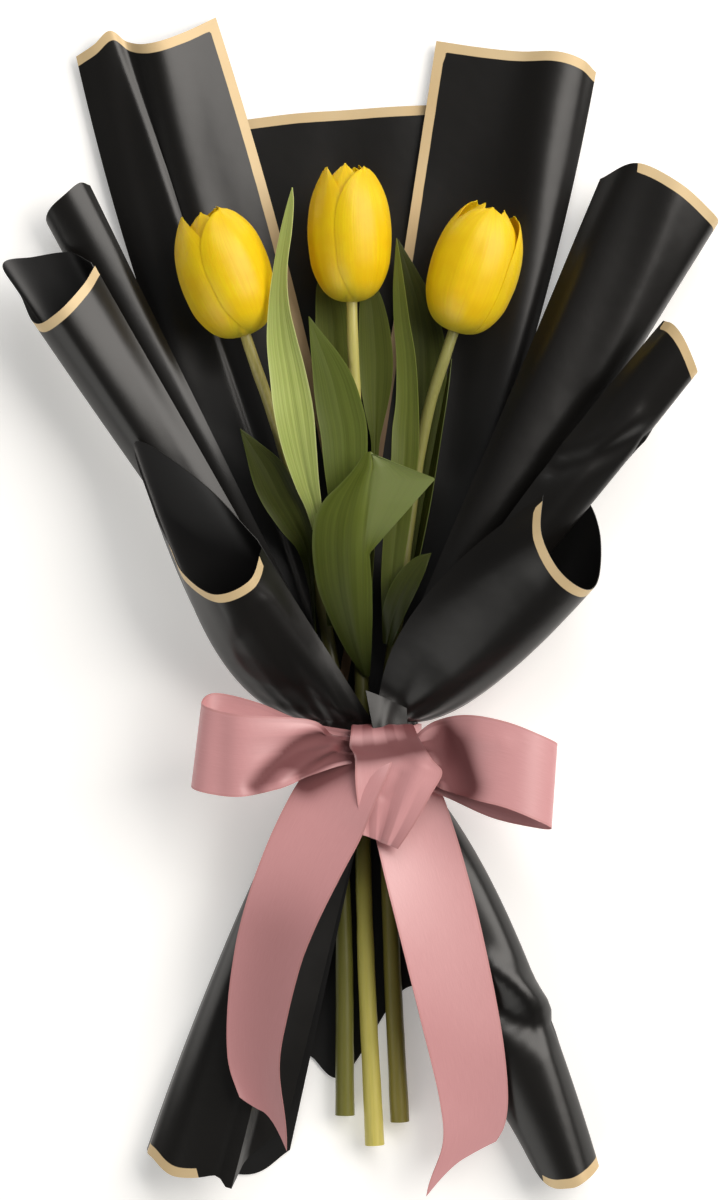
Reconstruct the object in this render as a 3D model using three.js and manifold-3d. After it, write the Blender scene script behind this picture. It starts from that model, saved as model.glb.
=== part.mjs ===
// A florist's bunch of three yellow tulips, laid on its back.
// The stems pass through a gathered paper wrap, which a satin ribbon ties at the waist.
// Millimetres. X is right, Y points to the blooms, Z is up. The tie is first drawn at
// X = Y = 0, and the whole bunch is then moved so that its origin is the middle of its foot.

import * as THREE from 'three';
import { mergeVertices } from 'three/addons/utils/BufferGeometryUtils.js';
import Module from 'manifold-3d';

const wasm = await Module();
wasm.setup();

// ---- Driving dimensions --------------------------------------------------------------

const PAPER = 0.65;            // wall of a paper sheet
const PAPER_PITCH = 1.1;       // step from one gathered layer to the next
const WAIST_HEIGHT = 12.3;     // height of the middle of the tie
const WAIST_HALF_WIDTH = 16.2; // innermost paper layer at the tie
const WAIST_HALF_DEPTH = 8.2;
const TIE_TOP = 8;             // the paper runs straight between these two
const TIE_BOTTOM = -14;
const SAG = 6.9;               // the tie sinks this far below the line of the two ends
const SAG_LENGTH = 200;        // and the sag runs out this far from the tie

const STEM_RADIUS_CUT = 4.3;
const STEM_RADIUS_TOP = 2.4;
const STEM_SIDES = 10;

const LEAF = 0.8;              // thickness of a leaf blade
const TEPAL = 1.3;             // thickness of a tepal in the middle

const RIBBON = 0.7;            // thickness of the ribbon, which is 37 mm wide
const RIBBON_LEVEL = 9;        // the band lies over the last paper layer
const BAND_BACK_DEPTH = 12.9;  // the band is flatter behind, where fewer layers lie
const BAND_LENGTH = 20;

// ---- Small helpers -------------------------------------------------------------------

const at = (x, y, z) => new THREE.Vector3(x, y, z);
const lerp = (a, b, t) => a + (b - a) * t;
const clamp = (value) => Math.min(Math.max(value, 0), 1);
const degrees = Math.PI / 180;

// A point of the bunch as it would hang straight, lowered by the sag of the tie.
function sunk(x, y, z) {
  const away = Math.max(y - TIE_TOP, TIE_BOTTOM - y, 0);
  return at(x, y, z - SAG * clamp(1 - away / SAG_LENGTH));
}

// One value, or one point, between listed ones, by a smooth curve through them.
function along(values, t) {
  const place = Math.min(Math.max(t, 0), 1) * (values.length - 1);
  const i = Math.min(Math.floor(place), values.length - 2);
  const f = place - i;
  const before = values[Math.max(i - 1, 0)];
  const after = values[Math.min(i + 2, values.length - 1)];
  const tangent0 = (values[i + 1] - before) / (i > 0 ? 2 : 1);
  const tangent1 = (after - values[i]) / (i + 2 < values.length ? 2 : 1);
  const f2 = f * f;
  const f3 = f2 * f;
  return (2 * f3 - 3 * f2 + 1) * values[i] + (f3 - 2 * f2 + f) * tangent0
    + (3 * f2 - 2 * f3) * values[i + 1] + (f3 - f2) * tangent1;
}

function alongPoints(points, t) {
  return at(
    along(points.map((p) => p.x), t),
    along(points.map((p) => p.y), t),
    along(points.map((p) => p.z), t),
  );
}

function closedGeometry(points, triangles) {
  const geometry = new THREE.BufferGeometry();
  const numbers = points.flatMap((p) => [p.x, p.y, p.z]);
  geometry.setAttribute('position', new THREE.Float32BufferAttribute(numbers, 3));
  geometry.setIndex(triangles);
  return geometry;
}

// A thin sheet from a grid of points of its middle surface, given wall by wall on both sides.
function sheet(grid, thickness) {
  const rows = grid.length;
  const columns = grid[0].length;
  const normals = grid.map((row, i) => row.map((point, j) => {
    const du = row[Math.min(j + 1, columns - 1)].clone().sub(row[Math.max(j - 1, 0)]);
    const dv = grid[Math.min(i + 1, rows - 1)][j].clone().sub(grid[Math.max(i - 1, 0)][j]);
    return du.cross(dv).normalize();
  }));
  const points = [];
  for (const side of [0.5, -0.5]) {
    grid.forEach((row, i) => row.forEach((point, j) => {
      points.push(point.clone().addScaledVector(normals[i][j], side * thickness));
    }));
  }
  const index = (side, i, j) => side * rows * columns + i * columns + j;
  const triangles = [];
  for (let i = 0; i + 1 < rows; i += 1) {
    for (let j = 0; j + 1 < columns; j += 1) {
      const even = (i + j) % 2 === 0;
      const quad = [[i, j], [i, j + 1], [i + 1, j + 1], [i + 1, j]];
      const [a, b, c, d] = even ? quad : [quad[1], quad[2], quad[3], quad[0]];
      for (const [p, q, r] of [[a, b, c], [a, c, d]]) {
        triangles.push(index(0, ...p), index(0, ...q), index(0, ...r));
        triangles.push(index(1, ...r), index(1, ...q), index(1, ...p));
      }
    }
  }
  const rim = [];
  for (let j = 0; j < columns; j += 1) rim.push([0, j]);
  for (let i = 1; i < rows; i += 1) rim.push([i, columns - 1]);
  for (let j = columns - 2; j >= 0; j -= 1) rim.push([rows - 1, j]);
  for (let i = rows - 2; i > 0; i -= 1) rim.push([i, 0]);
  rim.forEach((p, k) => {
    const q = rim[(k + 1) % rim.length];
    triangles.push(index(0, ...q), index(0, ...p), index(1, ...p));
    triangles.push(index(0, ...q), index(1, ...p), index(1, ...q));
  });
  return closedGeometry(points, triangles);
}

// A solid through rings of equal length, closed by a fan at each end.
function loft(rings) {
  const sides = rings[0].length;
  const points = rings.flat();
  const triangles = [];
  for (let i = 0; i + 1 < rings.length; i += 1) {
    for (let j = 0; j < sides; j += 1) {
      const a = i * sides + j;
      const b = i * sides + ((j + 1) % sides);
      triangles.push(a, b, b + sides, a, b + sides, a + sides);
    }
  }
  for (const [ring, first] of [[rings[0], true], [rings.at(-1), false]]) {
    const centre = points.length;
    points.push(ring.reduce((sum, p) => sum.add(p), at(0, 0, 0)).multiplyScalar(1 / sides));
    const start = first ? 0 : (rings.length - 1) * sides;
    for (let j = 0; j < sides; j += 1) {
      const pair = [start + ((j + 1) % sides), start + j];
      triangles.push(centre, ...(first ? pair : pair.reverse()));
    }
  }
  return closedGeometry(points, triangles);
}

function toSolid(geometry) {
  const bare = geometry.clone();
  bare.deleteAttribute('normal');
  bare.deleteAttribute('uv');
  const merged = mergeVertices(bare, 1e-4);
  return new wasm.Manifold(new wasm.Mesh({
    numProp: 3,
    vertProperties: new Float32Array(merged.attributes.position.array),
    triVerts: new Uint32Array(merged.index.array),
  }));
}

function fromSolid(solid) {
  const mesh = solid.getMesh();
  const geometry = new THREE.BufferGeometry();
  geometry.setAttribute('position', new THREE.BufferAttribute(new Float32Array(mesh.vertProperties), 3));
  geometry.setIndex([...mesh.triVerts]);
  return geometry;
}

const join = (geometries) => fromSolid(geometries.map(toSolid).reduce((a, b) => a.add(b)));

const bunch = new THREE.Group();

function addPart(name, geometry, finish) {
  const mesh = new THREE.Mesh(geometry, new THREE.MeshStandardMaterial(finish));
  mesh.name = name;
  bunch.add(mesh);
  return mesh;
}

const finishes = {
  paper: { color: 0x2c2a27, roughness: 0.55, metalness: 0 },
  petal: { color: 0xedc41b, roughness: 0.45, metalness: 0 },
  stem: { color: 0x9c9a4c, roughness: 0.5, metalness: 0 },
  leaf: { color: 0x5c6a2c, roughness: 0.5, metalness: 0 },
  satin: { color: 0xc98f90, roughness: 0.35, metalness: 0 },
  tie: { color: 0xb59a6a, roughness: 0.8, metalness: 0 },
};

// ---- Paper wrap ----------------------------------------------------------------------

// A point of the gathered waist: the layer's number counts outwards from the stems, and
// the angle turns from the right side over the front, which faces up.
function waist(level, angle, y) {
  return at(
    (WAIST_HALF_WIDTH + level * PAPER_PITCH) * Math.cos(angle * degrees),
    y,
    WAIST_HEIGHT + (WAIST_HALF_DEPTH + level * PAPER_PITCH) * Math.sin(angle * degrees),
  );
}

// A sheet gathered at the waist. Each column of it has its angle and layer in the waist,
// the end of its top rim and, where the sheet runs on below the ribbon, of its lower rim.
// A swell pulls the middle of a column off its straight line.
const column = (angle, level, top, swell = null, low = null, lowSwell = null) => (
  { angle, level, top, swell, low, lowSwell });

const STEPS_ACROSS = 2;
const STEPS_UP = 6;
const STEPS_DOWN = 4;

function paperSheet(columns) {
  const count = (columns.length - 1) * STEPS_ACROSS + 1;
  const goesDown = columns[0].low !== null;
  const middle = (end, swell, start) => swell ?? start.clone().lerp(end, 0.5);
  const pick = (key, t) => along(columns.map(key), t);
  const tops = columns.map((c) => c.top);
  const topStarts = columns.map((c) => waist(c.level, c.angle, TIE_TOP));
  const topMiddles = columns.map((c, k) => middle(c.top, c.swell, topStarts[k]));
  const lowStarts = columns.map((c) => waist(c.level, c.angle, TIE_BOTTOM));
  const lows = goesDown ? columns.map((c) => c.low) : null;
  const lowMiddles = goesDown ? columns.map((c, k) => middle(c.low, c.lowSwell, lowStarts[k])) : null;
  const grid = [];
  const row = (pointAt) => {
    grid.push(Array.from({ length: count }, (_, j) => pointAt(j / (count - 1))));
  };
  const bend = (a, b, c, t) => a.clone().multiplyScalar((1 - t) ** 2)
    .addScaledVector(b, 2 * t * (1 - t)).addScaledVector(c, t * t);
  const ring = (u, y) => waist(pick((c) => c.level, u), pick((c) => c.angle, u), y);
  if (goesDown) {
    for (let i = STEPS_DOWN; i > 0; i -= 1) {
      row((u) => bend(ring(u, TIE_BOTTOM), alongPoints(lowMiddles, u), alongPoints(lows, u), i / STEPS_DOWN));
    }
  }
  row((u) => ring(u, TIE_BOTTOM));
  for (let i = 0; i <= STEPS_UP; i += 1) {
    row((u) => bend(ring(u, TIE_TOP), alongPoints(topMiddles, u), alongPoints(tops, u), i / STEPS_UP));
  }
  return sheet(grid, PAPER);
}

// Back panels. The right one lies on the left one, and both lie on the middle one.
const backRight = [
  column(216, 0, at(33, 310, 5)),
  column(244, 0, at(52, 307, 6)),
  column(270, 0, at(70, 305, 8)),
  column(296, 0, at(87, 304.5, 12), at(54, 152, 8)),
  column(320, 0, at(98, 301, 11), at(68, 150, 9)),
  column(342, 0, at(104, 296, 5), at(76, 148, 7)),
];

const backLeft = [
  column(192, 1.1, at(-127, 303, 5), at(-93, 150, 6)),
  column(212, 1.1, at(-119, 308, 9), at(-80, 152, 7)),
  column(232, 1.1, at(-111, 314, 10)),
  column(246, 1.1, at(-106, 309.5, 5)),
  column(260, 1.1, at(-95, 308, 10)),
  column(274, 1.1, at(-80, 313, 8), at(-28, 150, 5.5)),
  column(288, 1.1, at(-65, 320.5, 4), at(-10, 150, 4)),
];

const backMiddle = [
  column(244, 2.4, at(-54, 275, 1), null, at(-26, -138, 1.2)),
  column(257, 2.4, at(-30, 278, 0.8), null, at(-22, -142, 1)),
  column(270, 2.4, at(-8, 279.5, 0.8), null, at(-8, -150, 0.8)),
  column(283, 2.4, at(13, 281, 0.8), null, at(16, -114, 1)),
  column(296, 2.4, at(35, 282, 1), null, at(30, -110, 1.2)),
];

// Rolls of the left side. Each runs from the seam over its under layer to the outer bend
// and back over its upper layer to the seam.
const leftFarRoll = [
  column(100, 3, at(-120, 243, 12)),
  column(125, 3, at(-124, 236, 8)),
  column(155, 3, at(-131, 230, 8)),
  column(186, 3, at(-137, 226, 11)),
  column(189, 3.5, at(-139.5, 230, 15)),
  column(186, 4, at(-137.5, 235, 19)),
  column(155, 4, at(-131, 241, 20.5)),
  column(125, 4, at(-125, 246, 18)),
  column(100, 4, at(-120.5, 245, 14.5)),
];

const leftMiddleRoll = [
  column(99, 5, at(-119, 210, 33)),
  column(122, 5, at(-129, 215, 24)),
  column(150, 5, at(-145, 213, 23)),
  column(184, 5, at(-158, 210, 26)),
  column(187, 5.5, at(-150, 196, 35)),
  column(184, 6, at(-143, 183, 43)),
  column(150, 6, at(-131, 189, 53)),
  column(122, 6, at(-121, 199, 50)),
  column(99, 6, at(-117.5, 208, 39)),
];

const leftFrontRoll = [
  column(88, 7, at(-46, 88, 48), at(-15, 48, 36), at(-32, -183, 2)),
  column(120, 7, at(-70, 113, 46), null, at(-50, -194, 1)),
  column(150, 7, at(-99, 131, 46), at(-60, 22, 29), at(-80, -188, 1), at(-54, -88, 5)),
  column(184, 7, at(-91, 101, 47), at(-61, 16, 26), at(-94, -182, 4), at(-57, -76, 8)),
  column(187, 7.5, at(-84, 85, 52), at(-60, 13, 28), at(-95, -183, 9), at(-58, -76, 12)),
  column(184, 8, at(-78, 73, 60), at(-57, 13, 34), at(-93, -185, 14), at(-57, -77, 17)),
  column(150, 8, at(-64, 64, 69), at(-40, 18, 43), at(-82, -193, 22), at(-54, -86, 26)),
  column(120, 8, at(-49, 70, 68), null, at(-60, -190, 24)),
  column(88, 8, at(-44, 84, 54), at(-13.5, 44, 38), at(-34, -172, 16)),
];

const rightFarRoll = [
  column(80, 3, at(106, 245, 16)),
  column(58, 3, at(122, 238, 9)),
  column(30, 3, at(142, 230, 9)),
  column(-4, 3, at(154, 227, 13)),
  column(-7, 3.5, at(157, 229, 19)),
  column(-4, 4, at(154, 233, 25)),
  column(30, 4, at(140, 245, 29)),
  column(58, 4, at(121, 254, 29)),
  column(80, 4, at(105.5, 247.5, 19)),
];

const rightMiddleRoll = [
  column(81, 5, at(131, 181, 33), at(60, 98, 30)),
  column(60, 5, at(134, 176, 29)),
  column(35, 5, at(138, 168, 29)),
  column(4, 5, at(144, 161, 33)),
  column(1, 5.5, at(146.5, 161, 39)),
  column(4, 6, at(146, 164, 45)),
  column(35, 6, at(141, 175, 50)),
  column(60, 6, at(136, 182, 48)),
  column(81, 6, at(132, 184, 41), at(60, 100, 36)),
];

const rightFrontWrap = [
  column(-62, 3.3, at(66, 112, 4), null, at(66, -168, 1.2)),
  column(-45, 3.6, at(82, 114, 5), at(46, 34, 2.5), at(74, -182, 1)),
  column(-25, 5.2, at(98, 108, 12), at(54, 20, 5), at(84, -190, 1.2), at(56, -70, 3)),
  column(-10, 7, at(105, 92, 24), at(56, 12, 10), at(98, -192, 4), at(63, -62, 7)),
  column(10, 7.6, at(104, 72, 38), at(54, 10, 18), at(105, -189, 11), at(67, -60, 15)),
  column(30, 8, at(98, 66, 50), at(48, 12, 28), at(100, -194, 19), at(63, -66, 23)),
  column(48, 8, at(86, 74, 61), at(36, 22, 38), at(92, -198, 22), at(50, -78, 27)),
  column(65, 8, at(78, 90, 64), at(32, 55, 46), at(80, -195, 18), at(34, -80, 27)),
  column(77, 8, at(79, 107, 56), at(-3, 66, 41), at(65, -170, 9), at(-1, -76, 23)),
];

const wrap = {
  paper_back_right: backRight,
  paper_back_left: backLeft,
  paper_back_middle: backMiddle,
  paper_roll_left_far: leftFarRoll,
  paper_roll_left_middle: leftMiddleRoll,
  paper_roll_left_front: leftFrontRoll,
  paper_roll_right_far: rightFarRoll,
  paper_roll_right_middle: rightMiddleRoll,
  paper_wrap_right_front: rightFrontWrap,
};

for (const [name, columns] of Object.entries(wrap)) {
  addPart(name, paperSheet(columns), finishes.paper);
}

// ---- Stems ---------------------------------------------------------------------------

// A round stem along a curve, thickest at its cut end.
function stem(points) {
  const curve = new THREE.CatmullRomCurve3(points, false, 'centripetal');
  const steps = 14;
  const rings = [];
  for (let i = 0; i <= steps; i += 1) {
    const t = i / steps;
    const centre = curve.getPointAt(t);
    const ahead = curve.getTangentAt(t);
    const side = at(0, 0, 1).cross(ahead).normalize();
    const up = ahead.clone().cross(side);
    const radius = lerp(STEM_RADIUS_CUT, STEM_RADIUS_TOP, t ** 0.8);
    rings.push(Array.from({ length: STEM_SIDES }, (_, k) => {
      const turn = (k / STEM_SIDES) * 2 * Math.PI;
      return centre.clone().addScaledVector(side, radius * Math.cos(turn))
        .addScaledVector(up, radius * Math.sin(turn));
    }));
  }
  return loft(rings);
}

// Each bloom stands on the end of its stem, turned to the left in the plane of the bunch,
// raised off that plane at its tip, and turned about its own axis by its spin.
const blooms = {
  left: { foot: at(-51.3, 178.3, 31), turn: 18, rise: 3, spin: 4, radius: 20.8, length: 58 },
  middle: { foot: at(-4.5, 193, 32), turn: 1.5, rise: 4, spin: -10, radius: 19.1, length: 60 },
  right: { foot: at(40.4, 180.1, 31), turn: -18.5, rise: 3, spin: 37, radius: 20.5, length: 58 },
};

for (const place of Object.values(blooms)) {
  const turn = place.turn * degrees;
  place.direction = at(-Math.sin(turn), Math.cos(turn), place.rise / place.length).normalize();
}

const WAIST_STEMS = 10.6;      // the outer stems lie this far from the middle one
const STEM_NECK = 12;          // the last stretch of a stem points along its bloom

const stemRoutes = {
  left: [
    at(-7.6, -167, 7), sunk(-8, -90, 14.5), sunk(-WAIST_STEMS, -15, 18.4), sunk(-WAIST_STEMS, 10, 18.4),
    sunk(-16, 50, 19), sunk(-28, 105, 20.5), sunk(-41, 148, 27),
  ],
  middle: [
    at(5.7, -180, 9), sunk(1.5, -90, 17.9), sunk(0, -15, 22.2), sunk(0, 10, 22.2),
    sunk(-0.5, 60, 22.6), sunk(-1.5, 120, 24.2), sunk(-3.5, 160, 28.5),
  ],
  right: [
    at(16.8, -170, 6.5), sunk(13, -90, 14.5), sunk(WAIST_STEMS, -15, 18.4), sunk(WAIST_STEMS, 10, 18.4),
    sunk(15, 50, 19), sunk(22, 105, 21), sunk(29.5, 146, 27),
  ],
};

for (const [name, points] of Object.entries(stemRoutes)) {
  const { foot, direction } = blooms[name];
  const neck = foot.clone().addScaledVector(direction, -STEM_NECK);
  addPart(`stem_${name}`, stem([...points, neck, foot]), finishes.stem);
}

// A flat ring round the waist. Its back may be flatter than its front, and may rest on a flat.
function ring(halfWidth, frontDepth, backDepth, flat, wall, length) {
  const turns = 40;
  const outline = (grow) => Array.from({ length: turns }, (_, k) => {
    const angle = (k / turns) * 2 * Math.PI;
    const depth = Math.sin(angle) > 0 ? frontDepth : backDepth;
    return new THREE.Vector2(
      (halfWidth + grow) * Math.cos(angle),
      Math.max((depth + grow) * Math.sin(angle), -flat - grow),
    );
  });
  const shape = new THREE.Shape(outline(wall / 2));
  shape.holes.push(new THREE.Path(outline(-wall / 2)));
  const geometry = new THREE.ExtrudeGeometry(shape, { depth: length, bevelEnabled: false });
  return geometry.translate(0, 0, -length / 2).rotateX(Math.PI / 2);
}

// The string that holds the stems inside the paper.
const STEM_TIE_WALL = 0.8;
const stemTie = addPart('stem_tie', ring(15, 7.3, 7.3, 7.3, STEM_TIE_WALL, 9), finishes.tie);
stemTie.position.set(0, (TIE_TOP + TIE_BOTTOM) / 2, WAIST_HEIGHT);

// ---- Blooms --------------------------------------------------------------------------

// One tepal of a closed tulip: a spoon that hugs the egg of the bloom.
function tepal(turn, fullest, length, width, lean) {
  const up = 6;
  const across = 4;
  const grid = [];
  for (let i = 0; i <= up; i += 1) {
    const t = i / up;
    const height = 1.5 + (length - 1.5) * t;
    const egg = Math.sin(Math.PI * (0.07 + 0.81 * t)) ** 0.6;
    const radius = fullest * egg * (1 + lean * t * t);
    const spread = width * Math.min(1, 0.5 + 1.4 * t) * Math.sqrt(Math.max(0.004, 1 - t ** 3.4));
    grid.push(Array.from({ length: across + 1 }, (_, j) => {
      const angle = turn + spread * (j / across - 0.5);
      const sag = 1 - 0.05 * (2 * j / across - 1) ** 2;
      return at(radius * sag * Math.cos(angle * degrees), radius * sag * Math.sin(angle * degrees), height);
    }));
  }
  return sheet(grid, TEPAL);
}

function bloom({ radius, length, spin }) {
  const parts = [];
  for (let k = 0; k < 3; k += 1) {
    parts.push(tepal(k * 120 + 30 + spin, radius - 2.6, length - 1, 118, -0.1));
    parts.push(tepal(k * 120 + 90 + spin, radius - 0.9, length, 112, -0.06));
  }
  const receptacle = [
    [0, 0], [3.2, 0], [7.5, 2.2], [9.5, 4.5], [8, 9], [3, 12], [0, 12],
  ].map(([r, z]) => new THREE.Vector2(r, z));
  parts.push(new THREE.LatheGeometry(receptacle, 16).rotateX(Math.PI / 2));
  return join(parts);
}

const SEAT = 0.35;             // gap between a stem and its bloom

for (const [name, place] of Object.entries(blooms)) {
  const mesh = addPart(`bloom_${name}`, bloom(place), finishes.petal);
  mesh.quaternion.setFromUnitVectors(at(0, 0, 1), place.direction);
  mesh.position.copy(place.foot).addScaledVector(place.direction, SEAT);
}

// ---- Leaves --------------------------------------------------------------------------

// One place on a leaf's rib: half of the blade's width there, and its turn about the rib.
const rib = (x, y, z, half, roll = 0) => ({ place: sunk(x, y, z), half, roll });

const NARROWEST = 0.7;         // half of a leaf's width at its tip

// A leaf along its rib, from the clasping foot to the tip. The blade is channelled along
// the rib, its edges wave, and it is turned about the rib where the leaf twists.
function leaf(ribs, channel, wave) {
  const up = Math.max(10, ribs.length - 1);
  const across = 4;
  const step = 0.02;
  const middle = (t) => alongPoints(ribs.map((r) => r.place), t);
  const widest = Math.max(...ribs.map((r) => r.half));
  const grid = [];
  for (let i = 0; i <= up; i += 1) {
    const t = i / up;
    const centre = middle(t);
    const ahead = middle(Math.min(t + step, 1)).sub(middle(Math.max(t - step, 0))).normalize();
    const side = ahead.clone().cross(at(0, 0, 1)).normalize();
    const normal = side.clone().cross(ahead);
    const half = Math.max(along(ribs.map((r) => r.half), t), NARROWEST);
    const turn = along(ribs.map((r) => r.roll), t) * degrees;
    grid.push(Array.from({ length: across + 1 }, (_, j) => {
      const s = (2 * j) / across - 1;
      const ripple = wave * Math.sin(9 * t + 2 * s) * (half / widest);
      const lift = s * s * (channel * half * (1 - 0.5 * t) + ripple);
      const out = s * half;
      return centre.clone()
        .addScaledVector(side, out * Math.cos(turn) - lift * Math.sin(turn))
        .addScaledVector(normal, out * Math.sin(turn) + lift * Math.cos(turn));
    }));
  }
  return sheet(grid, LEAF);
}

// The front leaf is bent open along its rib: a narrow left half and a wing to the right.
// Each row gives the left edge, the rib and the right edge.
function foldedLeaf(rows) {
  const steps = 10;
  const grid = [];
  for (let i = 0; i <= steps; i += 1) {
    const [left, spine, right] = [0, 1, 2].map((k) => alongPoints(rows.map((row) => row[k]), i / steps));
    grid.push([left, left.clone().lerp(spine, 0.5), spine, spine.clone().lerp(right, 0.5), right]);
  }
  return sheet(grid, LEAF);
}

const leaves = {
  leaf_front_tall: leaf(
    [
      rib(-13.5, 50, 24, 2.2, 50),
      rib(-16.2, 78, 29.5, 2.4, 40),
      rib(-20.4, 100, 34, 3.6, 25),
      rib(-24, 113, 37.5, 5.4, 12),
      rib(-27.2, 128, 41, 7.4, 6),
      rib(-29.9, 144, 44.5, 8.6),
      rib(-32.4, 160.6, 46.3, 7.9, 4),
      rib(-34.9, 176, 47.5, 6.7, 12),
      rib(-36.1, 191.8, 48, 4.8, 22),
      rib(-35.4, 207.4, 47.5, 3.5, 28),
      rib(-33, 223, 46.5, 2.9, 30),
      rib(-31.2, 235, 46, 1.6, 30),
      rib(-30.5, 242, 45.8, 0.15, 30),
    ],
    0.24,
    0.5,
  ),
  leaf_left_low: leaf(
    [
      rib(-20.4, 46, 18.6, 2, 80),
      rib(-22.1, 66, 22.4, 2.2, 60),
      rib(-24.5, 83.8, 26.5, 3.9, 25),
      rib(-29.6, 95.7, 28.5, 7, 12),
      rib(-36.6, 108.3, 30.5, 8.4, 5),
      rib(-41.8, 118.6, 32, 7.6),
      rib(-48, 128.5, 33.6, 3.8),
      rib(-53.5, 136.9, 34.5, 0.15),
    ],
    0.15,
    0.6,
  ),
  leaf_middle_left: leaf(
    [
      rib(-4.5, 48, 22, 3, 80),
      rib(-5.5, 75, 26.5, 4.5, 30),
      rib(-6.2, 100, 30, 7.5, 8),
      rib(-7.2, 120, 32, 9.4),
      rib(-8, 135.5, 33, 10.3),
      rib(-9.9, 145.6, 33.5, 10.2),
      rib(-12.7, 157.5, 33.5, 8.9),
      rib(-15.8, 166.8, 33, 6.6),
      rib(-19.4, 176, 32, 3.6),
      rib(-23.4, 186.4, 31, 0.15),
    ],
    0.15,
    0.4,
  ),
  leaf_middle_back: leaf(
    [
      rib(-10, 110, 19, 3),
      rib(-11, 135, 19.3, 6),
      rib(-11.5, 155, 19.5, 8),
      rib(-12, 172, 19.8, 8.5),
      rib(-13, 188, 20, 7.6),
      rib(-15, 200, 20.5, 5.2),
      rib(-17, 212, 20.8, 0.15),
    ],
    0.1,
    0.3,
  ),
  leaf_middle_right: leaf(
    [
      rib(2.5, 56, 19.5, 1.6, 45),
      rib(4.2, 85, 18.6, 1.6, 20),
      rib(5.4, 112, 19, 1.6),
      rib(5.9, 130, 19.3, 1.8),
      rib(6, 139, 19.4, 3.4),
      rib(6.1, 148, 19.5, 5.4),
      rib(6.2, 158, 19.6, 7),
      rib(6.2, 168, 19.8, 7.5),
      rib(5.6, 178, 20, 7.1),
      rib(4.8, 187, 20, 6.2),
      rib(3.6, 197, 19, 4.2),
      rib(2.5, 206, 17.5, 0.15),
    ],
    0.12,
    0.3,
  ),
  leaf_right_tall: leaf(
    [
      rib(11.9, 42, 22.2, 2.5, 30),
      rib(13, 70, 28, 4.5, 10),
      rib(15.5, 95, 31.5, 5.6),
      rib(17.5, 112, 33, 5.9),
      rib(18.7, 123.2, 33.5, 5.9),
      rib(19.3, 136, 33.8, 5.9, 5),
      rib(20, 149.6, 34.2, 5, 10),
      rib(19.5, 168, 34.5, 4.4, 15),
      rib(17.6, 184, 34.8, 3.7, 20),
      rib(16.3, 199.5, 35, 2.7, 22),
      rib(15.6, 213, 35, 1.1, 20),
      rib(15.2, 220.5, 35, 0.15, 20),
    ],
    0.25,
    0.4,
  ),
  leaf_right_back: leaf(
    [
      rib(16.8, 62, 15.3, 2.5),
      rib(21, 92, 15.4, 5),
      rib(26, 128, 16, 8),
      rib(28, 150, 16.8, 9),
      rib(28, 172, 17.5, 9),
      rib(25.5, 190, 18, 7),
      rib(21.5, 204, 18, 4.2),
      rib(17.5, 216, 18, 1.4),
      rib(15.8, 221, 18, 0.15),
    ],
    0.1,
    0.6,
  ),
  leaf_right_edge: leaf(
    [
      rib(20.3, 60, 19.4, 1.8, 70),
      rib(26, 88, 21, 3.5, 70),
      rib(31.5, 118, 23, 4.5, 72),
      rib(36.5, 148, 25, 3.5, 74),
      rib(39.5, 168, 26, 0.2, 75),
    ],
    0.1,
    0.2,
  ),
  leaf_right_low: leaf(
    [
      rib(11.2, 42, 23.6, 2.5, 30),
      rib(14, 56, 29, 5, 10),
      rib(19, 68, 33, 5.6),
      rib(25, 77, 34.5, 3.8),
      rib(30.4, 82.3, 35, 0.15),
    ],
    0.1,
    0.6,
  ),
  leaf_front_folded: foldedLeaf([
    [sunk(0.5, 28, 25.9), sunk(2, 28, 26.1), sunk(3.5, 28, 25.7)],
    [sunk(-7.5, 40, 30), sunk(1, 40, 30.4), sunk(4.2, 40, 29.6)],
    [sunk(-14.5, 54, 34), sunk(0.8, 54, 35), sunk(4.6, 54, 33.6)],
    [sunk(-19.7, 68, 36.4), sunk(0.8, 68, 39), sunk(4.4, 68, 37)],
    [sunk(-21.8, 84, 37.6), sunk(0.9, 82, 42.4), sunk(3.2, 82, 41.6)],
    [sunk(-20.8, 97, 38.6), sunk(1.5, 94, 44.6), sunk(12.9, 92.9, 44.4)],
    [sunk(-16.5, 105.5, 40), sunk(2.6, 105, 46), sunk(22.6, 103.9, 44.6)],
    [sunk(-10, 112, 42), sunk(3.6, 114, 46.6), sunk(32.3, 114.8, 43.6)],
    [sunk(-4, 118.5, 44), sunk(4.6, 120.5, 46.8), sunk(18.9, 120, 45.8)],
    [sunk(1.2, 126, 46), sunk(3.6, 126.5, 47), sunk(5.6, 125.2, 46.8)],
  ]),
};

for (const [name, geometry] of Object.entries(leaves)) {
  addPart(name, geometry, finishes.leaf);
}

// ---- Ribbon --------------------------------------------------------------------------

const band = addPart('ribbon_band', ring(
  WAIST_HALF_WIDTH + RIBBON_LEVEL * PAPER_PITCH,
  WAIST_HALF_DEPTH + RIBBON_LEVEL * PAPER_PITCH,
  BAND_BACK_DEPTH,
  WAIST_HEIGHT - RIBBON / 2,
  RIBBON,
  BAND_LENGTH,
), finishes.satin);
band.position.set(0, (TIE_TOP + TIE_BOTTOM) / 2, WAIST_HEIGHT);

// A length of ribbon along its middle line. Each station gives the middle, half of the
// width, and how far the width leans off the level.
function ribbon(stations, steps) {
  const pick = (key, t) => along(stations.map(key), t);
  const middle = (t) => alongPoints(stations.map((s) => s.p), t);
  const grid = [];
  for (let i = 0; i <= steps; i += 1) {
    const t = i / steps;
    const centre = middle(t);
    const turn = pick((s) => s.turn, t) * degrees;
    const tilt = pick((s) => s.tilt, t) * degrees;
    const half = pick((s) => s.half, t);
    const across = at(Math.cos(turn) * Math.cos(tilt), Math.sin(turn) * Math.cos(tilt), Math.sin(tilt));
    grid.push(Array.from({ length: 5 }, (_, j) => centre.clone().addScaledVector(across, half * (j / 2 - 1))));
  }
  return sheet(grid, RIBBON);
}

const station = (x, y, z, half, turn, tilt = 0) => ({ p: at(x, y, z), half, turn, tilt });

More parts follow.
